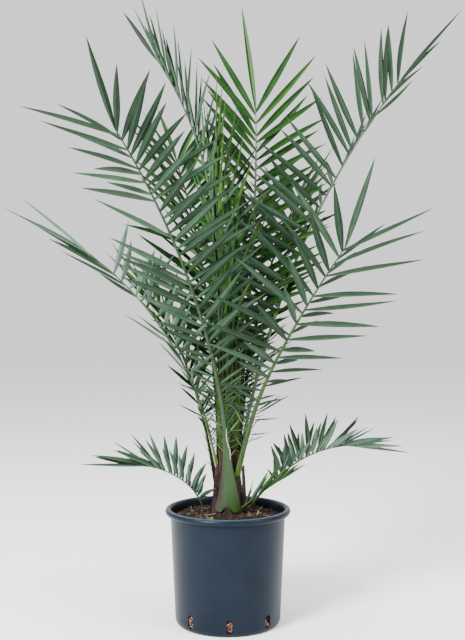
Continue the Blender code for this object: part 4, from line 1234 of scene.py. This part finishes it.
def leaf_rows(spec, foot_radius, seed):
    """The wished-for leaflets from tip to foot: (frame, row, angles, length, width, share)."""
    rng = np.random.default_rng(seed)
    s, *path = rib_path(spec, foot_radius)
    shares = np.array(RIB_SHARES)
    path = [at_share(s, v, shares) for v in path]
    turn, rise, length = spec["end"]
    rows = [([v[-1] for v in path], 0.0, (turn, rise, 0.0), length, LEAF_WIDTH * 0.9, 1.0)]
    for row, sign in enumerate((-1.0, 1.0)):
        count = spec["count"][row]
        for k in range(count):
            u = ((k + 0.5 + PLACE_JITTER * rng.normal()) / count) ** CROWD
            w = spec["start"] + (1.0 - spec["start"]) * min(u, 1.0)
            if any(sign == which and low < w < high for which, low, high in spec["bare"]):
                continue
            wave = 1.0 if k % 2 else -1.0
            spread = np.interp(u, BLADE_SHARES, spec["spread"][row])
            spread -= wave * spec["ruffle"][1] + rng.normal(0.0, SPREAD_JITTER)
            lift = np.interp(u, BLADE_SHARES, spec["lift"][row])
            lift -= wave * spec["ruffle"][0] + rng.normal(0.0, LIFT_JITTER)
            twist = np.interp(u, BLADE_SHARES, spec["twist"][row])
            length = np.interp(u, BLADE_SHARES, spec["reach"][row])
            grown = np.interp(u / spec["grows"], GROWN_SHARES, GROWN)
            length *= grown * (1.0 + rng.normal(0.0, LENGTH_JITTER))
            here = [at_share(shares, v, w) for v in path]
            width = LEAF_WIDTH * min(1.0, length / BROAD_FROM)
            rows.append((here, sign, (spread, lift, twist), length, width, w))
    return sorted(rows, key=lambda leaf: -leaf[-1])


def leaf_frame(here, sign, spread, lift, twist):
    """Direction, width direction and upper side of a leaflet that leaves the rib at two angles."""
    _, along, side, face = here
    a, b = math.radians(spread), math.radians(lift)
    if sign == 0.0:
        ahead = unit(along + math.tan(a) * side + math.tan(b) * face)
        across = unit(side - ahead * float(side @ ahead))
        return ahead, across, np.cross(ahead, across)
    outward = math.cos(b) * sign * side + math.sin(b) * face
    ahead = unit(math.cos(a) * along + math.sin(a) * outward)
    across = unit(along - ahead * float(along @ ahead))
    above = np.cross(ahead, across)
    if above @ face < 0.0:
        above = -above
    c = math.radians(twist) * sign
    return ahead, math.cos(c) * across + math.sin(c) * above, -math.sin(c) * across + math.cos(c) * above


def trials():
    """Changes of spread, lift and length, tried in turn for a leaflet that would touch another part."""
    out = [(0.0, 0.0, 1.0)]
    for size in (1.0, 0.82, 0.64, 0.46):
        for reach in (4.0, 8.0, 12.0, 17.0, 22.0):
            for k in range(8):
                a = math.pi / 4.0 * k
                out.append((0.5 * reach * math.sin(a), reach * math.cos(a), size))
    return out


class Crowd:
    """The faces that a leaflet must stay clear of."""

    def __init__(self):
        self.points, self.faces = [], []

    def add(self, points, faces):
        """Takes in a solid."""
        first = len(self.points)
        self.points += [tuple(map(float, p)) for p in points]
        self.faces += [tuple(first + int(i) for i in f) for f in faces]

    def tree(self):
        """A search tree over all that was taken in."""
        return BVHTree.FromPolygons(self.points, self.faces)


def place_leaves(spec, foot_radius, seed, tree):
    """The leaflets of a frond that clear the rest, as solids and as rows, and its narrow ones as rows."""
    solids, kept, narrow = [], [], []
    own, own_tree = Crowd(), None
    for here, sign, (spread, lift, twist), length, width, w in leaf_rows(spec, foot_radius, seed):
        if width < NARROWEST:
            narrow.append((here[0], *leaf_frame(here, sign, spread, lift, twist), length, width, w))
            continue
        half, thick = float(rib_half_width(spec, w)), float(rib_thickness(spec, w))
        for more_spread, more_lift, size in trials():
            inward, down = (-0.10, 0.0) if lift + more_lift > STEEP else (0.25, 0.12)
            root = here[0] + sign * inward * half * here[2] - down * thick * here[3]
            ahead, across, above = leaf_frame(here, sign, spread + more_spread, lift + more_lift, twist)
            test = leaf_space(root, ahead, across, above, length * size, width, CLEAR)
            if tree.overlap(BVHTree.FromPolygons(*test)):
                continue
            start = max(half + OWN_CLEAR, OWN_SHARE * length * size)
            rest = length * size - start
            outer = leaf_space(root + ahead * start, ahead, across, above, rest, width, CLEAR / 2.0)
            if own_tree and own_tree.overlap(BVHTree.FromPolygons(*outer)):
                continue
            own.add(*outer)
            own_tree = own.tree()
            solids.append(leaf_solid(root, ahead, across, above, length * size, width))
            kept.append((root, ahead, across, above, length * size, width, w))
            break
    return solids, kept, narrow


def foot_radius_of(name, spec):
    """How far from the axis a stem stands at its foot: against the trunk, with a fine gap."""
    if name == "frond_heart":
        return HEART_REACH
    reach = float(trunk_radius(spec["foot"][1])) + 0.35 * float(rib_thickness(spec, 0.0)) + GAP
    return reach + EXTRA_REACH.get(name, 0.0)


def grow():
    """Places the leaflets of every frond in turn, each clear of the ones before it."""
    fixed = Crowd()
    for name in ("pot", "soil", "trunk", "spear", *STUBS):
        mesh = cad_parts[name].data
        fixed.add([v.co for v in mesh.vertices], [tuple(p.vertices) for p in mesh.polygons])
    feet = {name: foot_radius_of(name, spec) for name, spec in FRONDS.items()}
    ribs = {name: rib_solid(spec, feet[name]) for name, spec in FRONDS.items()}
    done, grown = {}, {}
    for number, (name, spec) in enumerate(FRONDS.items()):
        others = Crowd()
        others.add(fixed.points, fixed.faces)
        for other, solid in ribs.items():
            if other != name:
                others.add(*solid)
        for leaves in done.values():
            for solid in leaves:
                others.add(*solid)
        done[name], kept, narrow = place_leaves(spec, feet[name], SEED + number, others.tree())
        grown[name] = (feet[name], kept, narrow)
    return grown


def outline(u):
    """A blade's width along it: it rises as a sine to its widest place and falls by a power to the tip."""
    rise = 0.26 + 0.74 * np.sin(0.5 * math.pi * np.clip(u / LEAF_WIDEST, 0.0, 1.0)) ** 0.9
    fall = 1.0 - np.clip((u - LEAF_WIDEST) / (1.0 - LEAF_WIDEST), 0.0, 1.0) ** 1.75
    return rise * fall


def blades(skin, root, ahead, across, above, length, width, upper, under, rng,
           fold=0.70, stiff=1.0, right=None):
    """Adds many folded blades to a piece; right is the finish of the upper side's right half.

    A blade's middle line runs straight ahead, sinks by the square of its share and bows a little
    sideways.  Its two edges stand beside and above the fold by the outline's width and the fold's
    depth, and its two sides meet in those edges, so it is thin at the edge and thicker at the fold.
    """
    count, steps = len(root), len(BLADE_PLACES)
    u = BLADE_PLACES[None, :, None]
    length, width = np.asarray(length)[:, None, None], np.asarray(width)[:, None, None]
    half = 0.5 * width * outline(u)
    bow = rng.normal(0.0, BLADE_BOW, count)[:, None, None] * stiff
    arch = rng.normal(0.0, BLADE_ARCH, count)[:, None, None] * stiff
    curl = np.radians(rng.normal(0.0, BLADE_CURL, count))[:, None, None] * stiff * u
    centre = root[:, None] + ahead[:, None] * length * u + across[:, None] * length * bow * u ** 2
    centre = centre + above[:, None] * length * arch * 4.0 * u * (1.0 - u)
    centre = centre - LEAF_DROOP * UPWARDS * length * u ** 2
    a = np.cos(curl) * across[:, None] + np.sin(curl) * above[:, None]
    n = -np.sin(curl) * across[:, None] + np.cos(curl) * above[:, None]
    depth = half * np.interp(u, [0.0, 0.10, 0.3, 1.0], [0.95, 0.65, fold, fold * 0.8])
    thick = np.interp(u, THICK_SHARES, BLADE_THICK) * np.minimum(1.0, width / FULL_WIDTH)
    ring = np.stack([
        centre - a * half + n * depth * 0.55,
        centre - n * (depth * 0.45 - 0.5 * thick),
        centre + a * half + n * depth * 0.55,
        centre - n * (depth * 0.45 + 0.5 * thick),
    ], axis=2)
    tip = root + ahead * length[:, 0] + across * length[:, 0] * bow[:, 0]
    tip = tip - LEAF_DROOP * UPWARDS * length[:, 0]
    points = np.concatenate([ring.reshape(count, -1, 3), tip[:, None]], axis=1)
    each = 4 * steps + 1
    start = each * np.arange(count)[:, None, None]
    last = each - 5
    ends = np.array([[last + j, last + (j + 1) % 4, each - 1] for j in range(4)])
    body, base = quads(steps, 4, closed=True), np.array([[3, 2, 1, 0]])
    faces = [(kind[None] + start).reshape(-1, kind.shape[1]) for kind in (body, ends, base)]
    strip = np.stack([upper, upper if right is None else right, under, under], axis=-1)
    deal = [np.tile(strip, (1, steps - 1)).ravel(), strip.ravel(), under]
    reach = np.concatenate([np.tile([-1.0, 0.0, 1.0, 0.0], (count, steps)), np.zeros((count, 1))], axis=1)
    run = np.concatenate([np.repeat((length * u)[..., 0], 4, axis=1), length[:, 0]], axis=1)
    skin.add(points, faces, deal, np.stack([reach, run], axis=-1))


def sheath_section(spec, t, a, b):
    """Bends the broad sheath's section round the trunk, and gives its lower edge a notch and two lobes."""
    b = b * (1.0 - 0.35 * (np.abs(a) / np.abs(a).max()) ** 2)
    b = b + SHEATH_RADIUS - np.sqrt(np.maximum(SHEATH_RADIUS ** 2 - a ** 2, 0.0))
    notch = NOTCH_RISE * np.clip(1.0 - np.abs(a) / NOTCH_HALF, 0.0, 1.0) ** 0.8
    lobe = LOBE_DROP * np.clip(1.0 - np.abs(np.abs(a) - LOBE_AT) / LOBE_HALF, 0.0, 1.0)
    share = t + (notch - lobe) / spec["length"] * np.clip(1.0 - t / 0.045, 0.0, 1.0)
    return a, b, share


def clasping_section(spec, t, a, b, foot_radius, clasp):
    """Rounds a stem's cut foot; a clasp broadens it by a bell curve and rolls it into an arc."""
    end = np.clip(t / (STEM_END / spec["length"]), 0.0, 1.0)
    close = 0.35 + 0.65 * np.sqrt(1.0 - (1.0 - end) ** 2)
    a, b = a * close, b * close
    if clasp:
        near = np.exp(-(t * spec["length"] / CLASP_HEIGHT) ** 2)
        a = a * (1.0 + near * (clasp / spec["sheath"] - 1.0))
        b = b * (1.0 - 0.75 * near * (np.abs(a) / clasp) ** 2)
        bend = (foot_radius + 0.002) / np.maximum(near, 0.05)
        a, b = (bend - b) * np.sin(a / bend), bend - (bend - b) * np.cos(a / bend)
    return a, b, np.broadcast_to(t, a.shape)


def sheath_colours(spec, share, beside):
    """How much the sheath takes its foot's colour, towards its right, and its border's, at its edges."""
    low = np.clip(1.0 - share * spec["length"] / SHEATH_COLOUR_HEIGHT, 0.0, 1.0)
    ripe = np.clip(0.35 + 0.9 * beside, 0.0, 1.0) * low ** 0.7
    left_edge = np.clip((-beside - 0.25) / 0.6, 0.0, 1.0) ** 1.5
    right_edge = 0.8 * np.clip((beside - 0.9) / 0.1, 0.0, 1.0)
    return ripe, (left_edge + right_edge) * low ** 0.5


def stem_grid(name, foot_radius):
    """Grid of a stem, and at each point how ripe it is, how much border it has and its place across.

    Its section is flat above and round below, carried along the rib.
    """
    spec = FRONDS[name]
    length, broad = spec["length"], spec["sheath"] > BROAD_SHEATH
    t = np.linspace(0.0, 1.0, STEM_STEPS)[:, None] ** 1.35
    turn = full_turn(STEM_SIDES)[None, :]
    s, at, along, side, face = rib_path(spec, foot_radius, FINE_STEPS)
    half = sheath_half_width(spec, t) if broad else rib_half_width(spec, t) * STOUT.get(name, 1.0)
    up = np.sin(turn)
    a = half * np.cos(turn)
    b = rib_thickness(spec, t) * np.where(up > 0.0, 0.35 * np.abs(up) ** 0.55, -0.6 * np.abs(up) ** 0.8)
    if broad:
        a, b, share = sheath_section(spec, t, a, b)
        ripe, border = sheath_colours(spec, share, a / half * np.sign(side[0, 0]))
    else:
        a, b, share = clasping_section(spec, t, a, b, foot_radius, CLASPS.get(name))
        ripens = RIPE_HEIGHTS.get(name, RIPE_HEIGHT)
        ripe = np.clip(1.0 - share * length / ripens, 0.0, 1.0) ** (0.4 if name in RIPE_HEIGHTS else 1.2)
        border = 0.0 * ripe
    foot_way = at_share(s, along, 0.0)
    place = at_share(s, at, np.maximum(share, 0.0)) + foot_way * np.minimum(share, 0.0)[..., None] * length
    points = place + at_share(s, side, share) * a[..., None] + at_share(s, face, share) * b[..., None]
    low, high = points[:1].mean(axis=1, keepdims=True), points[-1:].mean(axis=1, keepdims=True)
    if not broad:
        low = low - foot_way * 0.0015
    points = np.concatenate([np.repeat(low, STEM_SIDES, 1), points, np.repeat(high, STEM_SIDES, 1)])
    rows = [np.concatenate([v[:1], v, v[-1:]]) for v in (ripe, border, a)]
    return points, *rows


def green_slot(name):
    """The record's slot for a frond's green."""
    return "leaf_young" if name in YOUNG else "leaf_green"


def make_stem(name, foot_radius, finish):
    """The stem and rib of a frond, with its ripeness and its border kept as attributes."""
    points, ripe, border, across = stem_grid(name, foot_radius)
    run = np.linspace(0.0, FRONDS[name]["length"], len(points))[:, None]
    skin = Parts()
    skin.grid(points, grain=np.stack(np.broadcast_arrays(across, run), axis=-1))
    piece = skin.piece(name + "_stem", [finish])
    keep_attribute(piece, "ripe", ripe)
    keep_attribute(piece, "border", border)
    return settle(piece, green_slot(name))


def make_peeling_edge(spec, foot_radius, finish):
    """A pale strip that peels off the sheath's edge: a thin tube beside the stem that bows out a little."""
    s, at, _, side, face = rib_path(spec, foot_radius, FINE_STEPS)
    share = np.linspace(PEEL_FROM, PEEL_TO, 24)
    t = np.linspace(0.0, 1.0, len(share))
    right = at_share(s, side, share) * np.sign(side[0, 0])
    off = sheath_half_width(spec, share) * 0.9 + PEEL_BOW * np.sin(math.pi * t) * np.sin(7.0 * t)
    path = at_share(s, at, share) + right * off[:, None] - at_share(s, face, share) * PEEL_BACK
    points, faces = tubes(path[None], PEEL_RADIUS * (1.0 - 0.6 * np.abs(2.0 * t - 1.0) ** 3)[None], 6)
    skin = Parts()
    skin.add(points, faces)
    return settle(skin.piece("peeling_edge", [finish]), "leaf_green")


def add_spines(skin, spec, foot_radius, rng):
    """Thin spikes that start at the stem's edges and lean towards its tip, longer and greener higher up."""
    first = SHEATH_SPINE_FIRST if spec["sheath"] > BROAD_SHEATH else SPINE_FIRST
    start, last = spec["start"], spec["start"] + SPINE_PAST
    if spec["length"] <= LEAST_SPINY or start <= first:
        return
    count = int((last - first) * spec["length"] / SPINE_PITCH)
    share = np.linspace(first, last, count) + rng.normal(0.0, 0.004, count)
    sign = np.where(np.arange(count) % 2, 1.0, -1.0)[:, None]
    a = np.radians(rng.uniform(*SPINE_SPREAD, count))[:, None]
    b = np.radians(rng.normal(*SPINE_LIFT, count))[:, None]
    s, *path = rib_path(spec, foot_radius, FINE_STEPS)
    at, along, side, face = [at_share(s, v, share) for v in path]
    outward = np.cos(b) * sign * side + np.sin(b) * face
    ahead = unit(np.cos(a) * along + np.sin(a) * outward)
    across = unit(along - ahead * np.sum(along * ahead, axis=-1, keepdims=True))
    root = at + sign * side * rib_half_width(spec, share)[:, None] * 0.75
    places = [first, start, last]
    length = np.interp(share, places, SPINE_LENGTHS) * rng.uniform(0.7, 1.3, count)
    width = np.interp(share, places, SPINE_WIDTHS)
    dry = rng.uniform(0.0, 1.0, count) < np.interp(share, [first, last], DRY_SHARES)
    deal = np.where(dry, rng.integers(0, 2, count), 2)
    blades(skin, root, ahead, across, np.cross(ahead, across), length, width, deal, deal, rng, fold=0.6)


def make_spines(name, foot_radius, narrow, finishes, seed):
    """A frond's narrowest leaflets, set at the middle of its rib, and the spines on its stem."""
    rng, spec = np.random.default_rng(seed), FRONDS[name]
    skin = Parts()
    if narrow:
        s, at, *_ = rib_path(spec, foot_radius, FINE_STEPS)
        _, ahead, across, above, length, width, share = [np.array(c) for c in zip(*narrow)]
        deal = rng.choice(len(finishes), len(share), p=NARROW_DEAL)
        root = at_share(s, at, share)
        blades(skin, root, ahead, across, above, length, width * 0.6, deal, deal, rng, fold=0.5)
    add_spines(skin, spec, foot_radius, rng)
    if skin.count:
        settle(skin.piece(name + "_spines", finishes), "leaf_green")


def make_leaflets(name, kept, foot_radius, finishes, seed):
    """The leaflets of a frond: a folded blade at each place that the rule found.

    Each root moves from the solid rib's straight runs to the fine rib's curve.  The half of a blade
    that faces the light is dealt the lighter tints.
    """
    rng = np.random.default_rng(seed)
    root, ahead, across, above, length, width, share = [np.array(c) for c in zip(*kept)]
    s, at, *_ = rib_path(FRONDS[name], foot_radius, FINE_STEPS)
    straight = at_share(np.array(RIB_SHARES), at_share(s, at, np.array(RIB_SHARES)), share)
    root = root + at_share(s, at, share) - straight
    shaded = rng.choice(3, len(root), p=SHADED_DEAL)
    lit = rng.choice(3, len(root), p=LIT_DEAL)
    under = 3 + rng.choice(2, len(root), p=UNDER_DEAL)
    left_lit = across @ np.array(LIT_FROM) > 0.0
    left, right = np.where(left_lit, lit, shaded), np.where(left_lit, shaded, lit)
    width = width * BLADE_WIDTH / LEAF_WIDTH * SLENDER.get(name, 1.0)
    skin = Parts()
    blades(skin, root, ahead, across, above, length, width, left, under, rng, right=right)
    return settle(skin.piece(name + "_leaflets", finishes, sharp=28.0), green_slot(name), name)


def make_spear(finishes):
    """The folded leaves in the middle: a pleated spindle, and narrow blades that part from it.

    The spindle's radius waves round it and falls to a sharp tip.
    """
    steps, around = 70, 36
    t = np.linspace(0.0, 1.0, steps)[:, None]
    turn = full_turn(around)[None, :]
    tilt, heading = math.tan(math.radians(SPEAR["lean"])), math.radians(SPEAR["heading"])
    reach, bearing = SPEAR["foot"]
    foot = spot(reach, math.radians(bearing), TRUNK_FOOT + TRUNK_HEIGHT + GAP)
    way = spot(tilt, heading, 1.0)
    half = SPEAR["half"] * np.interp(t, [0.0, 0.15, 0.45, 1.0], [0.75, 0.9, 1.0, 0.0])
    radius = half * (0.90 + 0.10 * np.cos(SPEAR_PLEATS * turn + SPEAR_TWIST * t))
    points = foot + SPEAR["length"] * t[..., None] * way + polar(radius, turn)
    points = np.concatenate([np.repeat(points[:1].mean(axis=1, keepdims=True), around, 1), points])
    skin = Parts()
    skin.grid(points, grain=np.full((points.size // 3, 2), 0.5))
    rng = np.random.default_rng(SEEDS["spear"])
    share = rng.uniform(0.10, 0.80, SPEAR_LEAVES)
    out = polar(1.0, rng.uniform(0.0, TURN, SPEAR_LEAVES))
    root = foot + SPEAR["length"] * share[:, None] * way + out * SPEAR["half"] * 0.5
    ahead = unit(out * rng.uniform(0.03, 0.12, SPEAR_LEAVES)[:, None] + way)
    across = unit(np.cross(ahead, out))
    length = np.minimum(rng.uniform(*SPEAR_BLADE, SPEAR_LEAVES), SPEAR["length"] * (1.25 - share))
    deal, under = rng.integers(0, 2, SPEAR_LEAVES), np.full(SPEAR_LEAVES, 2)
    width = rng.uniform(*SPEAR_BLADE_WIDTH, SPEAR_LEAVES)
    blades(skin, root, ahead, across, -out, length, width, deal, under, rng, fold=0.8, stiff=0.5)
    return settle(skin.piece("spear_leaves", finishes), "leaf_young", "spear")


def make_young_bases(finishes):
    """Stems of the youngest leaves: folded straps that stand round the spear and lean out a little."""
    rng = np.random.default_rng(SEEDS["young"])
    count = YOUNG_BASES
    angle = TURN * (np.arange(count) + rng.uniform(-0.4, 0.4, count)) * GOLDEN_SHARE
    height = TRUNK_HEIGHT - rng.uniform(*YOUNG_DROP, count)
    out = polar(1.0, angle)
    root = out * (trunk_radius(height) - 0.003)[:, None]
    root[:, 2] = SOIL_MIDDLE + height
    lean = np.tan(np.radians(rng.uniform(*YOUNG_LEAN, count)))[:, None]
    aside = np.stack([-np.sin(angle), np.cos(angle), 0.0 * angle], axis=-1)
    ahead = unit(out * lean + aside * rng.normal(0.0, 0.05, (count, 1)) + UPWARDS)
    across = unit(np.cross(ahead, out))
    length = rng.uniform(*YOUNG_LENGTH, count)
    left, right = rng.choice(len(finishes), (2, count), p=YOUNG_SHARES)
    width = rng.uniform(*YOUNG_WIDTH, count)
    skin = Parts()
    blades(skin, root, ahead, across, -out, length, width, right, left, rng, fold=0.9, right=left)
    return settle(skin.piece("young_bases", finishes, sharp=28.0), "leaf_young")


def make_plant():
    """Everything that grows: trunk, cut bases, spear and fronds."""
    make_trunk(surface("palm_fibre", (22, 16, 14), rough=0.92, second=(54, 39, 29), scale=150.0, blend=0.35,
                       bump=(260.0, 0.0010), stretch=(1.0, 1.0, 0.22)))
    make_fibres(surfaces(FIBRE_FINISHES))
    make_stubs(surfaces(STUB_FINISHES, scale=110.0, bump=(220.0, 0.0010), stretch=(1.0, 1.0, 0.16)))
    leaf = dict(scale=22.0, bump=(60.0, 0.00025), shine=0.12, veins=True)
    upper = {name: surface(name, a, rough=0.42, second=b, **leaf) for name, (a, b) in UPPER.items()}
    under = {name: surface(name, a, rough=0.60, second=b, **leaf) for name, (a, b) in UNDER.items()}
    stems = {name: stem_finish(name, *colours) for name, colours in STEMS.items()}
    spines = surfaces(SPINE_FINISHES, scale=40.0, shine=0.12)
    make_spear([upper["heart_green"], upper["bright_green"], under["under_bright"]])
    make_young_bases([upper["base_olive"], upper["base_green"], upper["base_brown"]])
    for number, (name, (foot_radius, kept, narrow)) in enumerate(grow().items()):
        tints, below, stem = TINTS[name]
        make_stem(name, foot_radius, stems[stem])
        if name == "frond_front_left":
            pale = surface("sheath_edge", (188, 186, 158), rough=0.6, second=(150, 148, 112), scale=60.0)
            make_peeling_edge(FRONDS[name], foot_radius, pale)
        leaves = [upper[tint] for tint in tints] + [under[tint] for tint in below]
        make_leaflets(name, kept, foot_radius, leaves, SEEDS["leaflets"] + number)
        make_spines(name, foot_radius, narrow, spines, SEEDS["spines"] + number)


def make_pot_and_soil():
    """The pot, the soil in it and what lies on the soil."""
    plastic = surface("slate_plastic", (13, 17, 25), rough=0.36, second=(17, 22, 31), scale=14.0,
                      bump=(420.0, 0.00005), shine=0.17, glint=(0.55, 0.75, 1.0))
    # Darkens the plastic: painted shadow under the rim and painted shade inside the pot
    mix_by(plastic, "rim_shadow_and_inner_shade", (6, 8, 11), 0.75)
    # Lightens the rim's crest: painted highlight with patchy wear
    make_pot(mix_by(plastic, "rim_highlight_and_wear", (66, 78, 94), 0.9))
    make_soil(surface("damp_mulch", (14, 10, 10), rough=0.96, second=(46, 26, 22), scale=190.0,
                      bump=(420.0, 0.0014)))
    make_chips(surfaces(CHIP_FINISHES, scale=200.0))
    make_litter(surfaces(LITTER_FINISHES))
    make_sprouts(surfaces(SPROUT_FINISHES))
    make_slot_roots(surfaces(ROOT_FINISHES))


def put(name, data, place):
    """Puts a lamp, a camera or a mesh in the scene."""
    made = bpy.data.objects.new(name, data)
    made.location = place
    bpy.context.scene.collection.objects.link(made)
    return made


def face_towards(made, aim):
    """Turns a lamp or a camera towards a point."""
    made.rotation_euler = (Vector(aim) - Vector(made.location)).to_track_quat("-Z", "Y").to_euler()


def light(name, place, size, power):
    """A soft square light turned towards the plant."""
    lamp = bpy.data.lights.new(name, "AREA")
    lamp.shape = "SQUARE"
    lamp.size = size
    lamp.energy = power
    face_towards(put(name, lamp, place), LIGHT_AIM)


def make_studio():
    """A pale floor, an even white surrounding, soft lights and the camera."""
    world = bpy.context.scene.world or bpy.data.worlds.new("white_room")
    bpy.context.scene.world = world
    world.use_nodes = True
    back = world.node_tree.nodes["Background"]
    back.inputs["Color"].default_value = (1.0, 1.0, 1.0, 1.0)
    back.inputs["Strength"].default_value = ROOM_LIGHT
    ring = polar(FLOOR_RADIUS, full_turn(96))
    mesh = bpy.data.meshes.new("studio_floor")
    mesh.from_pydata([tuple(p) for p in ring], [], [tuple(range(len(ring)))])
    mesh.materials.append(surface("floor_white", (250, 250, 250), rough=0.9))
    put("studio_floor", mesh, (0.0, 0.0, 0.0))
    for name, place, size, power in LIGHTS:
        light(name, place, size, power)
    camera = bpy.data.cameras.new("photo_camera")
    camera.sensor_fit = "VERTICAL"
    camera.sensor_height = 36.0
    camera.lens = CAMERA_LENS
    bpy.context.scene.camera = put("photo_camera", camera, CAMERA_PLACE)
    face_towards(bpy.context.scene.camera, CAMERA_AIM)


make_pot_and_soil()
make_plant()
make_studio()
